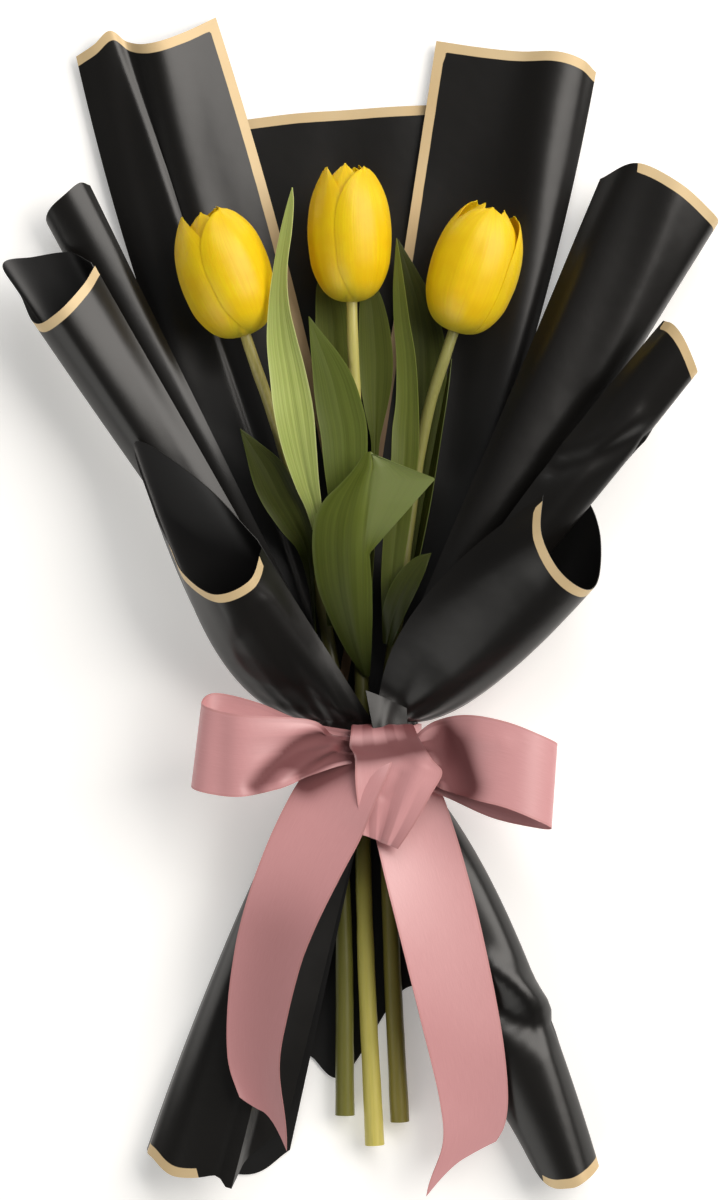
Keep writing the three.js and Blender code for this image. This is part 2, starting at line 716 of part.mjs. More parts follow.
addPart('ribbon_tail_left', ribbon([
  station(4, -8, 34.4, 13, -10),
  station(-6, -20, 35.6, 17.5, -25, 3),
  station(-16, -34, 37.6, 18.3, -30, 5),
  station(-24, -50, 38.4, 18, -25, 8),
  station(-31.8, -68, 38, 17.3, -20, 14),
  station(-37, -82, 37.2, 16.4, -17, 15),
  station(-41, -95.7, 36.2, 15.4, -14, 16),
  station(-45.2, -118, 35, 14, -8, 16),
  station(-47.2, -140, 34, 11.8, 0, 14),
  station(-44, -163, 33, 10.3, -24, 8),
], 14), finishes.satin);

addPart('ribbon_tail_right', ribbon([
  station(12, -9, 31.7, 13, 0),
  station(18, -24, 33.4, 16.6, 6, -2),
  station(23.5, -42, 35.5, 17.4, 9, -6),
  station(28, -60, 36.4, 18, 12, -8),
  station(33, -80, 35.6, 18.2, 13, -10),
  station(38, -101, 33.5, 17.8, 12, -10),
  station(42.3, -120, 31, 17.3, 9, -10),
  station(46.5, -140, 28, 16.4, 6, -8),
  station(49.2, -158, 25, 15.2, 6, -8),
  station(49.4, -172, 22.8, 14.2, 14, -8),
  station(45, -185, 21, 16, 30, -4),
], 14), finishes.satin);

addPart('ribbon_loop_left', ribbon([
  station(6, -4, 38.5, 6, 90),
  station(-8, -4, 41, 6.6, 92),
  station(-21, -3, 46, 11.8, 90),
  station(-36, -5.2, 51, 15.8, 87),
  station(-52, -6.5, 54, 17.8, 86),
  station(-66, -4.5, 53, 18.3, 84),
  station(-72.3, -1.5, 47, 18.5, 83),
  station(-66, 2.5, 41, 18.5, 84),
  station(-46, 0, 39.5, 16.6, 88),
  station(-24, -5, 37.5, 13, 90),
  station(4, -6, 36, 9, 90),
], 16), finishes.satin);

addPart('ribbon_loop_right', ribbon([
  station(12, -4, 38.5, 6, 90),
  station(22, -5, 39.6, 7, 90),
  station(31, -5.5, 41.8, 13.5, 89),
  station(40, -6, 47, 17, 88),
  station(50, -7.3, 52.2, 18.4, 87),
  station(63, -10.3, 54.5, 18.5, 86),
  station(75, -15, 53.5, 18.5, 86),
  station(84, -19.6, 47, 18.5, 86),
  station(78, -20, 40.5, 18.5, 88),
  station(58, -17.5, 38.5, 16.6, 88),
  station(38, -11.5, 37, 14, 90),
  station(14, -6, 36, 9, 90),
], 16), finishes.satin);

addPart('ribbon_knot', ribbon([
  station(9, 6.6, 31.6, 12, 0),
  station(9, 6.4, 37.4, 14, 0),
  station(10, 1.5, 42.4, 15.5, -3, 2),
  station(12.5, -5.5, 44, 18, -6, 3),
  station(15.9, -11, 44.6, 19.4, -8, 4),
  station(13.6, -20, 44.2, 17, -11, 5),
  station(11.6, -29, 43.2, 14.2, -14, 5),
  station(10, -37, 42.2, 11.2, -18, 5),
  station(8.4, -44.2, 41, 8.4, -22, 4),
], 10), finishes.satin);

// ---- Placing -------------------------------------------------------------------------

bunch.updateMatrixWorld(true);
const box = new THREE.Box3().setFromObject(bunch, true);
bunch.position.set(-(box.min.x + box.max.x) / 2, -(box.min.y + box.max.y) / 2, -box.min.z);
bunch.updateMatrixWorld(true);

export default bunch;
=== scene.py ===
"""Looks of a florist's bunch of three closed yellow tulips, laid on its back.

The stems pass through a gathered wrap of black coated paper with a printed gold border,
and a pink satin ribbon ties it at the waist. Sizes are real millimetres. Places are given
about the middle of the tie, with X to the right, Y to the blooms and Z up from the surface;
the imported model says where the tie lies.
"""

import logging
import math
from dataclasses import dataclass, field
from enum import Enum

import bpy
import numpy as np
from bpy.types import ID, Curve, Material, Mesh, Node, NodeSocket, NodeTree, Object
from mathutils import Matrix, Vector


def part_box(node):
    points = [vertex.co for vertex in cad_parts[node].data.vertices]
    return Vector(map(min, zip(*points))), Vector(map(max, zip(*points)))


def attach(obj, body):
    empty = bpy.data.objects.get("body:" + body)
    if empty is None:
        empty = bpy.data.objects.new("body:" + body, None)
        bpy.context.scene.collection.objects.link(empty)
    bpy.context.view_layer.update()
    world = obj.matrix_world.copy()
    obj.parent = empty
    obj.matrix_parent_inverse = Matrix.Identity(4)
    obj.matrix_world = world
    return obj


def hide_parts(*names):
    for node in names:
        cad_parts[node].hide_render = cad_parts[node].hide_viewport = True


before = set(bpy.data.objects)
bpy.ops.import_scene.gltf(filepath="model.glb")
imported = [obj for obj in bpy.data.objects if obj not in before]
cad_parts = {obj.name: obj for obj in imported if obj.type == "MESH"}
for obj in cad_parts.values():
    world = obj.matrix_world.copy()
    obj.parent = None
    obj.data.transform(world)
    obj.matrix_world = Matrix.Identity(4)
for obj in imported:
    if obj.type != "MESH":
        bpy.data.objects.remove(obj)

log = logging.getLogger("tulip_bunch")

MM = 0.001
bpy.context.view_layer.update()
Point = tuple[float, float, float]
Feed = Node | NodeSocket

# The gathered waist, in mm about the middle of the tie.
WAIST_HEIGHT = 12.3
TIE_TOP = 8.0
TIE_BOTTOM = -14.0
BAND_MIDDLE_Y = -3.0
# The tie sinks this far below the line of the bunch's two ends, and the sag runs out this far.
SAG = 6.9
SAG_LENGTH = 200.0


def tie_place() -> np.ndarray:
    """Return where the middle of the tie lies in the frame, in metres, at floor height."""
    low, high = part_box("ribbon_band")
    middle = (low + high) / 2
    return np.array([middle.x, middle.y - BAND_MIDDLE_Y * MM, 0.0])


TIE = tie_place()


# ---- Shared helpers ----


def linear(hex_code: str) -> tuple[float, float, float, float]:
    """Turn an sRGB hex colour into linear red, green, blue and alpha.

    Args:
        hex_code: Six hex digits, with or without a leading #.

    Returns:
        The colour that a shader socket takes.
    """
    digits = hex_code.lstrip("#")
    parts = [int(digits[i : i + 2], 16) / 255 for i in (0, 2, 4)]
    red, green, blue = (c / 12.92 if c <= 0.04045 else ((c + 0.055) / 1.055) ** 2.4 for c in parts)
    return (red, green, blue, 1.0)


def node(tree: NodeTree, kind: str, inputs: dict | None = None, **settings) -> Node:
    """Add a node with its settings and links.

    Args:
        tree: The node tree that gets the node.
        kind: The node's type name; ShaderNode at its start may be left out.
        inputs: For each input, by name or number, a value, or what feeds it: a socket, or a
            node for its first output in use.
        **settings: The node's own properties.

    Returns:
        The new node.
    """
    made = tree.nodes.new(kind if "Node" in kind else f"ShaderNode{kind}")
    for key, value in settings.items():
        setattr(made, key, value)
    for key, value in (inputs or {}).items():
        if isinstance(value, Node):
            value = next(socket for socket in value.outputs if socket.enabled)
        if isinstance(value, NodeSocket):
            tree.links.new(value, made.inputs[key])
        else:
            made.inputs[key].default_value = value
    return made


def smooth(values: np.ndarray, t: np.ndarray) -> np.ndarray:
    """Follow a smooth curve through evenly spaced values.

    Args:
        values: One value, or one row of values, for each point of the curve.
        t: Places along the curve, from 0 to 1.

    Returns:
        One row for each place.
    """
    rows = np.asarray(values, float)
    flat = rows.reshape(len(rows), -1)
    place = np.clip(t, 0, 1) * (len(rows) - 1)
    i = np.minimum(place.astype(int), len(rows) - 2)
    f = (place - i)[:, None]
    before = flat[np.maximum(i - 1, 0)]
    here, after = flat[i], flat[i + 1]
    later = flat[np.minimum(i + 2, len(rows) - 1)]
    tangent0 = (after - before) / np.where(i > 0, 2, 1)[:, None]
    tangent1 = (later - here) / np.where(i + 2 < len(rows), 2, 1)[:, None]
    f2, f3 = f**2, f**3
    out = (2 * f3 - 3 * f2 + 1) * here + (f3 - 2 * f2 + f) * tangent0
    out += (3 * f2 - 2 * f3) * after + (f3 - f2) * tangent1
    return out.reshape((len(place),) + rows.shape[1:])


def step(low: float, high: float, value: np.ndarray) -> np.ndarray:
    """Rise smoothly from 0 where value is low or less to 1 where it is high or more."""
    x = np.clip((value - low) / (high - low), 0, 1)
    return x * x * (3 - 2 * x)


def bell(value: np.ndarray, middle: float, width: float) -> np.ndarray:
    """Return a soft hump of height 1 where value is middle, this wide."""
    return np.exp(-(((value - middle) / width) ** 2))


def table(rows: tuple[tuple[float, ...], ...], width: int) -> np.ndarray:
    """Return rows of numbers as an array this wide, with a short row's last number 0."""
    return np.array([(*row, 0.0)[:width] for row in rows], float)


def run_along(line: np.ndarray) -> np.ndarray:
    """Return how far each point of a line lies from its start, along the line."""
    return np.concatenate([[0], np.cumsum(np.linalg.norm(np.diff(line, axis=0), axis=1))])


def unit(rows: np.ndarray) -> np.ndarray:
    """Scale each row to length 1."""
    return rows / np.maximum(np.linalg.norm(rows, axis=-1, keepdims=True), 1e-9)


def grid_normals(grid: np.ndarray) -> np.ndarray:
    """Return the normal at each point of a grid: across the columns times up the rows."""
    return unit(np.cross(np.gradient(grid, axis=1), np.gradient(grid, axis=0)))


@dataclass(frozen=True)
class Crease:
    """A soft ridge or furrow along a line that is seen from above.

    Args:
        path: The line's points, in mm about the tie.
        width: How far it spreads to each side.
        height: How far it rises towards the viewer; a furrow's is negative.
        above: Only the layer of the sheet above this height takes it.
    """

    path: tuple[tuple[float, float], ...]
    width: float
    height: float
    above: float = -50.0


def pressed(grid: np.ndarray, creases: tuple[Crease, ...]) -> tuple[np.ndarray, np.ndarray]:
    """Press creases into a surface.

    Args:
        grid: Rows and columns of points.
        creases: What is pressed into it.

    Returns:
        The creased grid, and how deep each point lies in a furrow, in mm.
    """
    normal = grid_normals(grid)
    facing = normal * np.where(normal[..., 2:3] < 0, -1, 1)
    out = grid.copy()
    depth = np.zeros(grid.shape[:2])
    for crease in creases:
        line = smooth(np.array(crease.path, float), np.linspace(0, 1, 24))
        start, run = line[:-1], np.diff(line, axis=0)
        offset = grid[..., None, :2] - start
        share = np.clip((offset * run).sum(-1) / (run**2).sum(-1), 0, 1)
        away = np.linalg.norm(offset - share[..., None] * run, axis=-1).min(-1)
        layer = step(crease.above - 2, crease.above + 2, grid[..., 2])
        lift = crease.height * bell(away, 0, crease.width) * layer
        out = out + facing * lift[..., None]
        depth = depth + np.maximum(-lift, 0)
    return out, depth


def path_points(points: list[Point], count: int) -> np.ndarray:
    """Follow a centripetal curve through listed points at even steps.

    Args:
        points: The points that the curve passes through.
        count: How many points to return.

    Returns:
        The points on the curve.
    """
    given = np.array(points, float)
    ends = np.vstack([2 * given[0] - given[1], given, 2 * given[-1] - given[-2]])
    fine: list[np.ndarray] = []
    for p0, p1, p2, p3 in zip(ends, ends[1:], ends[2:], ends[3:]):
        d0, d1, d2 = (math.sqrt(np.linalg.norm(b - a)) for a, b in ((p0, p1), (p1, p2), (p2, p3)))
        start = ((p1 - p0) / d0 - (p2 - p0) / (d0 + d1) + (p2 - p1) / d1) * d1
        end = ((p2 - p1) / d1 - (p3 - p1) / (d1 + d2) + (p3 - p2) / d2) * d1
        f = np.linspace(0, 1, 40, endpoint=False)[:, None]
        cube = 2 * p1 - 2 * p2 + start + end
        square = -3 * p1 + 3 * p2 - 2 * start - end
        fine.extend(p1 + start * f + square * f**2 + cube * f**3)
    fine.append(given[-1])
    line = np.array(fine)
    length = run_along(line)
    places = np.linspace(0, length[-1], count)
    return np.stack([np.interp(places, length, line[:, k]) for k in range(3)], axis=1)


@dataclass
class Skin:
    """A closed mesh in the making, in millimetres about the tie.

    Args:
        points: One row for each point.
        faces: The points of each face.
        uv: One pair for each point.
        values: Named numbers, one for each point.
    """

    points: np.ndarray
    faces: list[tuple[int, ...]]
    uv: np.ndarray
    values: dict[str, np.ndarray] = field(default_factory=dict)

    def joined(self, other: "Skin") -> "Skin":
        """Return one skin that holds both."""
        start = len(self.points)
        faces = self.faces + [tuple(k + start for k in face) for face in other.faces]
        values = {
            name: np.concatenate([self.values[name], other.values[name]]) for name in self.values
        }
        return Skin(
            np.vstack([self.points, other.points]), faces, np.vstack([self.uv, other.uv]), values
        )


def shell(
    grid: np.ndarray, thickness: np.ndarray | float, uv: np.ndarray, values: dict[str, np.ndarray]
) -> Skin:
    """Give a surface its thickness and close it round its edge.

    Args:
        grid: Rows and columns of points on the middle surface.
        thickness: One thickness, or one for each point of the grid.
        uv: A pair for each point of the grid.
        values: Named numbers for each point of the grid. "side" is added: 1 on the upper
            face, which the grid's normal points out of, and 0 on the lower.

    Returns:
        The closed skin.
    """
    rows, columns = grid.shape[:2]
    half = np.broadcast_to(thickness, (rows, columns))[..., None] / 2
    out = grid_normals(grid) * half
    points = np.concatenate([(grid + out).reshape(-1, 3), (grid - out).reshape(-1, 3)])
    count = rows * columns
    index = np.arange(count).reshape(rows, columns)
    a, b, c, d = index[:-1, :-1], index[:-1, 1:], index[1:, 1:], index[1:, :-1]
    upper = np.stack([a, b, c, d], axis=-1).reshape(-1, 4)
    lower = upper[:, ::-1] + count
    rim = list(index[0]) + list(index[1:, -1]) + list(index[-1, -2::-1]) + list(index[-2:0:-1, 0])
    edge = [(q, p, p + count, q + count) for p, q in zip(rim, rim[1:] + rim[:1])]
    faces = [tuple(int(k) for k in face) for face in [*upper, *lower, *edge]]
    doubled = {
        name: np.tile(np.asarray(value, float).reshape(-1), 2) for name, value in values.items()
    }
    doubled["side"] = np.repeat([1.0, 0.0], count)
    return Skin(points, faces, np.tile(uv.reshape(-1, 2), (2, 1)), doubled)


def make_piece(name: str, skin: Skin, finish: Material, sharp: float = 50) -> Object:
    """Make a piece of the scene from a skin.

    Args:
        name: The piece's name.
        skin: Its mesh, in millimetres about the tie.
        finish: Its material.
        sharp: Edges that turn by more than this many degrees stay sharp.

    Returns:
        The object, at the origin, with its place in its mesh.
    """
    mesh = bpy.data.meshes.new(name)
    mesh.from_pydata((skin.points * MM + TIE).tolist(), [], skin.faces)
    for value_name, value in skin.values.items():
        layer = mesh.attributes.new(value_name, "FLOAT", "POINT")
        layer.data.foreach_set("value", value.astype(np.float32))
    corners = np.zeros(len(mesh.loops), np.int32)
    mesh.loops.foreach_get("vertex_index", corners)
    uv_layer = mesh.uv_layers.new(name="surface")
    uv_layer.data.foreach_set("uv", skin.uv[corners].astype(np.float32).ravel())
    mesh.materials.append(finish)
    return place_mesh(name, mesh, sharp)


def put(name: str, data: ID) -> Object:
    """Put an object that shows this data into the scene."""
    made = bpy.data.objects.new(name, data)
    bpy.context.scene.collection.objects.link(made)
    return made


def place_mesh(name: str, mesh: Mesh, sharp: float = 50) -> Object:
    """Put a finished mesh into the scene, shaded smooth but for its sharp edges.

    Args:
        name: The object's name.
        mesh: The mesh, with its place in its points.
        sharp: Edges that turn by more than this many degrees stay sharp.

    Returns:
        The object, at the origin.
    """
    mesh.polygons.foreach_set("use_smooth", np.ones(len(mesh.polygons), bool))
    mesh.set_sharp_from_angle(angle=math.radians(sharp))
    return put(name, mesh)


def settle(piece: Object, slot: str, *nodes: str) -> Object:
    """Make a piece part of the object.

    Args:
        piece: The finished piece.
        slot: The name of a material slot; not used.
        *nodes: The CAD nodes that it stands for.

    Returns:
        The piece.
    """
    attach(piece, "root")
    if nodes:
        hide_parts(*nodes)
    log.info(
        "%s: %d faces, for %s", piece.name, len(piece.data.polygons), ", ".join(nodes) or "no node"
    )
    return piece


def grown(name: str, source: ID, tree: NodeTree, sizes: dict[str, object]) -> Mesh:
    """Run a geometry node tree on a curve or mesh and return the plain mesh it makes.

    Args:
        name: The mesh's name.
        source: The curve or mesh that the tree starts from.
        tree: The tree.
        sizes: A value for each of the tree's named inputs.

    Returns:
        A mesh with nothing live left on it.
    """
    carrier = put(name + "_source", source)
    modifier = carrier.modifiers.new("grow", "NODES")
    modifier.node_group = tree
    for item in tree.interface.items_tree:
        if item.item_type == "SOCKET" and item.in_out == "INPUT" and item.name in sizes:
            modifier[item.identifier] = sizes[item.name]
    graph = bpy.context.evaluated_depsgraph_get()
    mesh = bpy.data.meshes.new_from_object(carrier.evaluated_get(graph), depsgraph=graph)
    carrier.modifiers.remove(modifier)
    bpy.data.objects.remove(carrier)
    mesh.name = name
    return mesh


def new_tree(name: str, inputs: dict[str, tuple[str, object]]) -> tuple[NodeTree, Node]:
    """Start a geometry node tree.

    Args:
        name: The tree's name.
        inputs: For each named input, its socket type and its value at first.

    Returns:
        The tree and its input node.
    """
    tree = bpy.data.node_groups.new(name, "GeometryNodeTree")
    tree.interface.new_socket("Geometry", in_out="INPUT", socket_type="NodeSocketGeometry")
    tree.interface.new_socket("Geometry", in_out="OUTPUT", socket_type="NodeSocketGeometry")
    for label, (kind, value) in inputs.items():
        socket = tree.interface.new_socket(label, in_out="INPUT", socket_type=kind)
        if value is not None:
            socket.default_value = value
    return tree, node(tree, "NodeGroupInput")


def finish_tree(tree: NodeTree, geometry: Feed, material: Feed) -> None:
    """End a tree in Realize Instances and Set Material.

    Args:
        tree: The tree.
        geometry: What it has made.
        material: The material for all of it.
    """
    real = node(tree, "GeometryNodeRealizeInstances", {"Geometry": geometry})
    dressed = node(tree, "GeometryNodeSetMaterial", {"Geometry": real, "Material": material})
    node(tree, "NodeGroupOutput", {"Geometry": dressed})


# ---- Finishes ----


def blank_material(name: str) -> tuple[Material, NodeTree]:
    """Start a material and return it with its empty tree."""
    material = bpy.data.materials.new(name)
    material.use_nodes = True
    material.node_tree.nodes.clear()
    return material, material.node_tree


def shade(tree: NodeTree, inputs: dict) -> None:
    """End a material's tree in a Principled shader with these inputs."""
    shader = node(tree, "BsdfPrincipled", inputs)
    node(tree, "OutputMaterial", {"Surface": shader})


def cells(size_mm: float) -> float:
    """Return the noise scale on Object coordinates whose cells are this wide."""
    return 1 / (size_mm * MM)


@dataclass(frozen=True)
class CoatedPaper:
    """Black coated wrapping paper, calendered, with a gold border printed on one face.

    The coating gives it a soft grey gloss on its bends, and it is nearly black where the
    sheet shades itself. The border is a matt gold ink, so it looks like pale cream. Its
    uncoated back is matt and is painted darker as shade. The tall back panels take the same
    painted shade, with a dull brown gold, towards the tie.
    """

    black: str = "#0b0a09"
    # Painted shade: the darker black of the matt back and of the shaded back panels.
    matt_and_shade: str = "#050404"
    brown: str = "#13110f"
    gold: str = "#d6c29b"
    gold_shade: str = "#c9aa79"
    # Painted shade: the dull brown gold where the border lies in shade.
    gold_in_shade: str = "#94775a"
    border: float = 4.4
    ink_edge: float = 0.2
    ink_metal: float = 0.15
    ink_roughness: float = 0.5
    roughness: float = 0.33
    matt_roughness: float = 0.45

    def make(self) -> Material:
        """Build the material. It reads "border_mm", and a mask that is 0 on the matt back and in
        painted shade.
        """
        material, tree = blank_material("coated_paper_with_gold_border")
        place = node(tree, "TexCoord").outputs["Object"]
        distance = node(tree, "Attribute", attribute_name="border_mm").outputs["Fac"]
        # The ink's edge wanders by a tenth of a millimetre, as print does on a soft coating.
        wander = node(tree, "TexNoise", {"Vector": place, "Scale": cells(8.33), "Detail": 1.0})
        edge = node(tree, "Math", {0: wander, 1: 0.25, 2: distance}, operation="MULTIPLY_ADD")
        ink = node(
            tree, "MapRange",
            {
                "Value": edge, "From Min": self.border, "From Max": self.border + self.ink_edge,
                "To Min": 1.0, "To Max": 0.0,
            },
        )
        # Slow changes of tone over 40 mm, as where the coating is thicker.
        cloud = node(tree, "TexNoise", {"Vector": place, "Scale": cells(40), "Detail": 3.0})
        black = node(
            tree, "Mix", {0: cloud, 6: linear(self.black), 7: linear(self.brown)}, data_type="RGBA",
        )
        # Painted shade: where the mask is 0, on the matt back and low on the tall back panels, the
        # black darkens and the gold turns dull brown.
        coated_unshaded = node(tree, "Attribute", attribute_name="coated_unshaded").outputs["Fac"]
        black = node(tree, "Mix", {0: coated_unshaded, 6: linear(self.matt_and_shade), 7: black}, data_type="RGBA")
        gold = node(
            tree, "Mix", {0: cloud, 6: linear(self.gold), 7: linear(self.gold_shade)},
            data_type="RGBA",
        )
        gold = node(tree, "Mix", {0: coated_unshaded, 6: linear(self.gold_in_shade), 7: gold}, data_type="RGBA")
        colour = node(tree, "Mix", {0: ink, 6: black, 7: gold}, data_type="RGBA")
        face = node(
            tree, "MapRange",
            {"Value": coated_unshaded, "To Min": self.matt_roughness, "To Max": self.roughness},
        )
        rough = node(tree, "MapRange", {"Value": ink, "To Min": face, "To Max": self.ink_roughness})
        metal = node(tree, "Math", {0: ink, 1: self.ink_metal}, operation="MULTIPLY")
        # Paper fibres of 0.6 mm, and faint handling dents of 18 mm.
        fibre = node(tree, "TexNoise", {"Vector": place, "Scale": cells(0.625), "Detail": 2.0})
        dents = node(tree, "TexNoise", {"Vector": place, "Scale": cells(18.18), "Detail": 2.0})
        grain = node(tree, "Bump", {"Strength": 0.12, "Distance": 0.00012, "Height": fibre})
        relief = node(
            tree, "Bump", {"Strength": 0.25, "Distance": 0.0008, "Height": dents, "Normal": grain},
        )
        shade(
            tree,
            {
                "Base Color": colour, "Roughness": rough, "Metallic": metal, "Normal": relief,
                "IOR": 1.5, "Specular IOR Level": 0.46,
            },
        )
        return material


def paint_wrap_shade(tree: NodeTree, colour: Feed, deep: str, top: float, foot: float) -> Node:
    """Paint shade on a green toward the tie and just below it, where the wrap shades the leaves and
    stems.

    Args:
        tree: The material's nodes.
        colour: The colour it has in the open.
        deep: The painted shade colour close above the tie.
        top: How far above the tie the change begins, in mm.
        foot: How far below the tie it ends, in mm.

    Returns:
        The changed colour.
    """
    place = node(tree, "TexCoord").outputs["Object"]
    height = node(tree, "SeparateXYZ", {"Vector": place}).outputs["Y"]
    tie = float(TIE[1])
    inside = node(
        tree, "MapRange",
        {
            "Value": height, "From Min": tie + 25 * MM, "From Max": tie + top * MM, "To Min": 0.85,
            "To Max": 0.0,
        },
    )
    above = node(
        tree, "MapRange",
        {"Value": height, "From Min": tie - foot * MM, "From Max": tie - foot / 2 * MM},
    )
    share = node(tree, "Math", {0: inside, 1: above}, operation="MULTIPLY")
    return node(tree, "Mix", {0: share, 6: colour, 7: linear(deep)}, data_type="RGBA")


@dataclass(frozen=True)
class TulipPetal:
    """A living tulip tepal: a thin satin blade whose cells lie in fine lengthwise ribs.

    Light passes some way into it, so its shaded side stays a warm orange yellow. The foot
    of the tepal is still green.
    """

    yellow: str = "#efc80e"
    warm: str = "#e6b30a"
    foot: str = "#bfae30"
    roughness: float = 0.42
    rib_count: float = 46.0  # about one a millimetre

    def make(self) -> Material:
        """Build the material. It reads "up", from 0 at the foot to 1 at the tip."""
        material, tree = blank_material("tulip_petal")
        surface = node(tree, "UVMap", uv_map="surface")
        place = node(tree, "TexCoord").outputs["Object"]
        up = node(tree, "Attribute", attribute_name="up").outputs["Fac"]
        # The ribs run from the foot to the tip and close in on it with the edges.
        stretch = node(tree, "Mapping", {"Vector": surface, "Scale": (self.rib_count, 1.6, 1.0)})
        ribs = node(tree, "TexNoise", {"Vector": stretch, "Scale": 1.0, "Detail": 3.0})
        cloud = node(tree, "TexNoise", {"Vector": place, "Scale": cells(11.1), "Detail": 2.0})
        tone = node(tree, "Math", {0: ribs, 1: cloud}, operation="MULTIPLY")
        spread = node(tree, "MapRange", {"Value": tone, "From Min": 0.05, "From Max": 0.42})
        petal = node(
            tree, "Mix", {0: spread, 6: linear(self.warm), 7: linear(self.yellow)},
            data_type="RGBA",
        )
        green = node(
            tree, "MapRange",
            {"Value": up, "From Min": 0.02, "From Max": 0.16, "To Min": 0.8, "To Max": 0.0},
        )
        colour = node(tree, "Mix", {0: green, 6: petal, 7: linear(self.foot)}, data_type="RGBA")
        relief = node(tree, "Bump", {"Strength": 0.35, "Distance": 0.0003, "Height": ribs})
        shade(
            tree,
            {
                "Base Color": colour, "Normal": relief, "Roughness": self.roughness,
                "Subsurface Weight": 0.3, "Subsurface Radius": (1.0, 0.6, 0.12),
                "Subsurface Scale": 0.0025, "Specular IOR Level": 0.35,
            },
        )
        return material


@dataclass(frozen=True)
class LeafBlade:
    """A waxy tulip leaf with straight parallel veins and a grey bloom on its wax.

    Args:
        name: The material's name.
        face: Colour of the blade.
        deep: Colour between the veins and towards the foot.
        pale: Colour of the rim and, where the blade is turned over, of its back.
    """

    name: str
    face: str
    deep: str
    pale: str
    roughness: float = 0.44
    vein_count: float = 26.0  # about 0.7 mm apart
    wax: float = 0.14
    # Painted shade colour near the tie, inside the wrap.
    painted_wrap_shade: str = "#1b2008"

    def make(self) -> Material:
        """Build the material. It reads "up", "edge", 1 at the rim, and "back", 1 if turned over."""
        material, tree = blank_material(self.name)
        surface = node(tree, "UVMap", uv_map="surface")
        place = node(tree, "TexCoord").outputs["Object"]
        up = node(tree, "Attribute", attribute_name="up").outputs["Fac"]
        rim = node(tree, "Attribute", attribute_name="edge").outputs["Fac"]
        back = node(tree, "Attribute", attribute_name="back").outputs["Fac"]
        stretch = node(tree, "Mapping", {"Vector": surface, "Scale": (self.vein_count, 0.8, 1.0)})
        veins = node(tree, "TexNoise", {"Vector": stretch, "Scale": 1.0, "Detail": 4.0})
        cloud = node(tree, "TexNoise", {"Vector": place, "Scale": cells(14.3), "Detail": 3.0})
        fine = node(tree, "MapRange", {"Value": veins, "From Min": 0.3, "From Max": 0.7})
        blade = node(
            tree, "Mix", {0: fine, 6: linear(self.deep), 7: linear(self.face)}, data_type="RGBA",
        )
        foot = node(
            tree, "MapRange",
            {"Value": up, "From Min": 0.0, "From Max": 0.45, "To Min": 0.7, "To Max": 0.0},
        )
        shaded = node(tree, "Mix", {0: foot, 6: blade, 7: linear(self.deep)}, data_type="RGBA")
        wax = node(tree, "Math", {0: cloud, 1: self.wax}, operation="MULTIPLY")
        lip = node(
            tree, "MapRange",
            {"Value": rim, "From Min": 0.9, "From Max": 1.0, "To Min": 0.0, "To Max": 0.7},
        )
        light = node(tree, "Math", {0: lip, 1: wax}, operation="MAXIMUM")
        over = node(tree, "Math", {0: light, 1: back}, operation="MAXIMUM")
        colour = node(tree, "Mix", {0: over, 6: shaded, 7: linear(self.pale)}, data_type="RGBA")
        relief = node(tree, "Bump", {"Strength": 0.25, "Distance": 0.00025, "Height": veins})
        rough = node(
            tree, "MapRange",
            {"Value": cloud, "To Min": self.roughness - 0.06, "To Max": self.roughness + 0.1},
        )
        # Painted shade toward the tie, inside the wrap.
        whole = paint_wrap_shade(tree, colour, self.painted_wrap_shade, 100, 60)
        shade(
            tree,
            {
                "Base Color": whole, "Roughness": rough, "Normal": relief,
                "Specular IOR Level": 0.22, "Subsurface Weight": 0.12,
                "Subsurface Radius": (0.4, 1.0, 0.15), "Subsurface Scale": 0.0015,
            },
        )
        return material


@dataclass(frozen=True)
class StemSkin:
    """The smooth skin of a tulip stem, with a thin wax and faint lengthwise fibres.

    It is yellow green under the bloom, deeper at the waist and pale again where the cut
    end has stood in water.
    """

    name: str
    under_bloom: str
    waist: str
    foot: str
    # Painted shade colour near the tie and below it, inside the wrap.
    painted_wrap_shade: str = "#14160a"
    roughness: float = 0.38

    def make(self) -> Material:
        """Build the material. It reads "along", from 0 at the cut end to 1 at the bloom."""
        material, tree = blank_material(self.name)
        place = node(tree, "TexCoord").outputs["Object"]
        along = node(tree, "Attribute", attribute_name="along").outputs["Fac"]
        low = node(tree, "MapRange", {"Value": along, "From Min": 0.02, "From Max": 0.38})
        high = node(tree, "MapRange", {"Value": along, "From Min": 0.45, "From Max": 0.97})
        lower = node(
            tree, "Mix", {0: low, 6: linear(self.foot), 7: linear(self.waist)}, data_type="RGBA",
        )
        whole = node(
            tree, "Mix", {0: high, 6: lower, 7: linear(self.under_bloom)}, data_type="RGBA",
        )
        # Fibres: streaks 0.7 mm wide that run on for 30 mm.
        stretch = node(tree, "Mapping", {"Vector": place, "Scale": (1400.0, 33.0, 1400.0)})
        fibre = node(tree, "TexNoise", {"Vector": stretch, "Scale": 1.0, "Detail": 2.0})
        tint = node(
            tree, "MapRange", {"Value": fibre, "From Min": 0.35, "From Max": 0.75, "To Max": 0.35},
        )
        colour = node(tree, "Mix", {0: tint, 6: whole, 7: linear(self.waist)}, data_type="RGBA")
        relief = node(tree, "Bump", {"Strength": 0.2, "Distance": 0.0002, "Height": fibre})
        # Painted shade toward the tie and below it, inside the wrap.
        skin = paint_wrap_shade(tree, colour, self.painted_wrap_shade, 125, 66)
        shade(
            tree,
            {
                "Base Color": skin, "Normal": relief, "Roughness": self.roughness,
                "Subsurface Weight": 0.15, "Subsurface Radius": (0.8, 1.0, 0.25),
                "Subsurface Scale": 0.002,
            },
        )
        return material


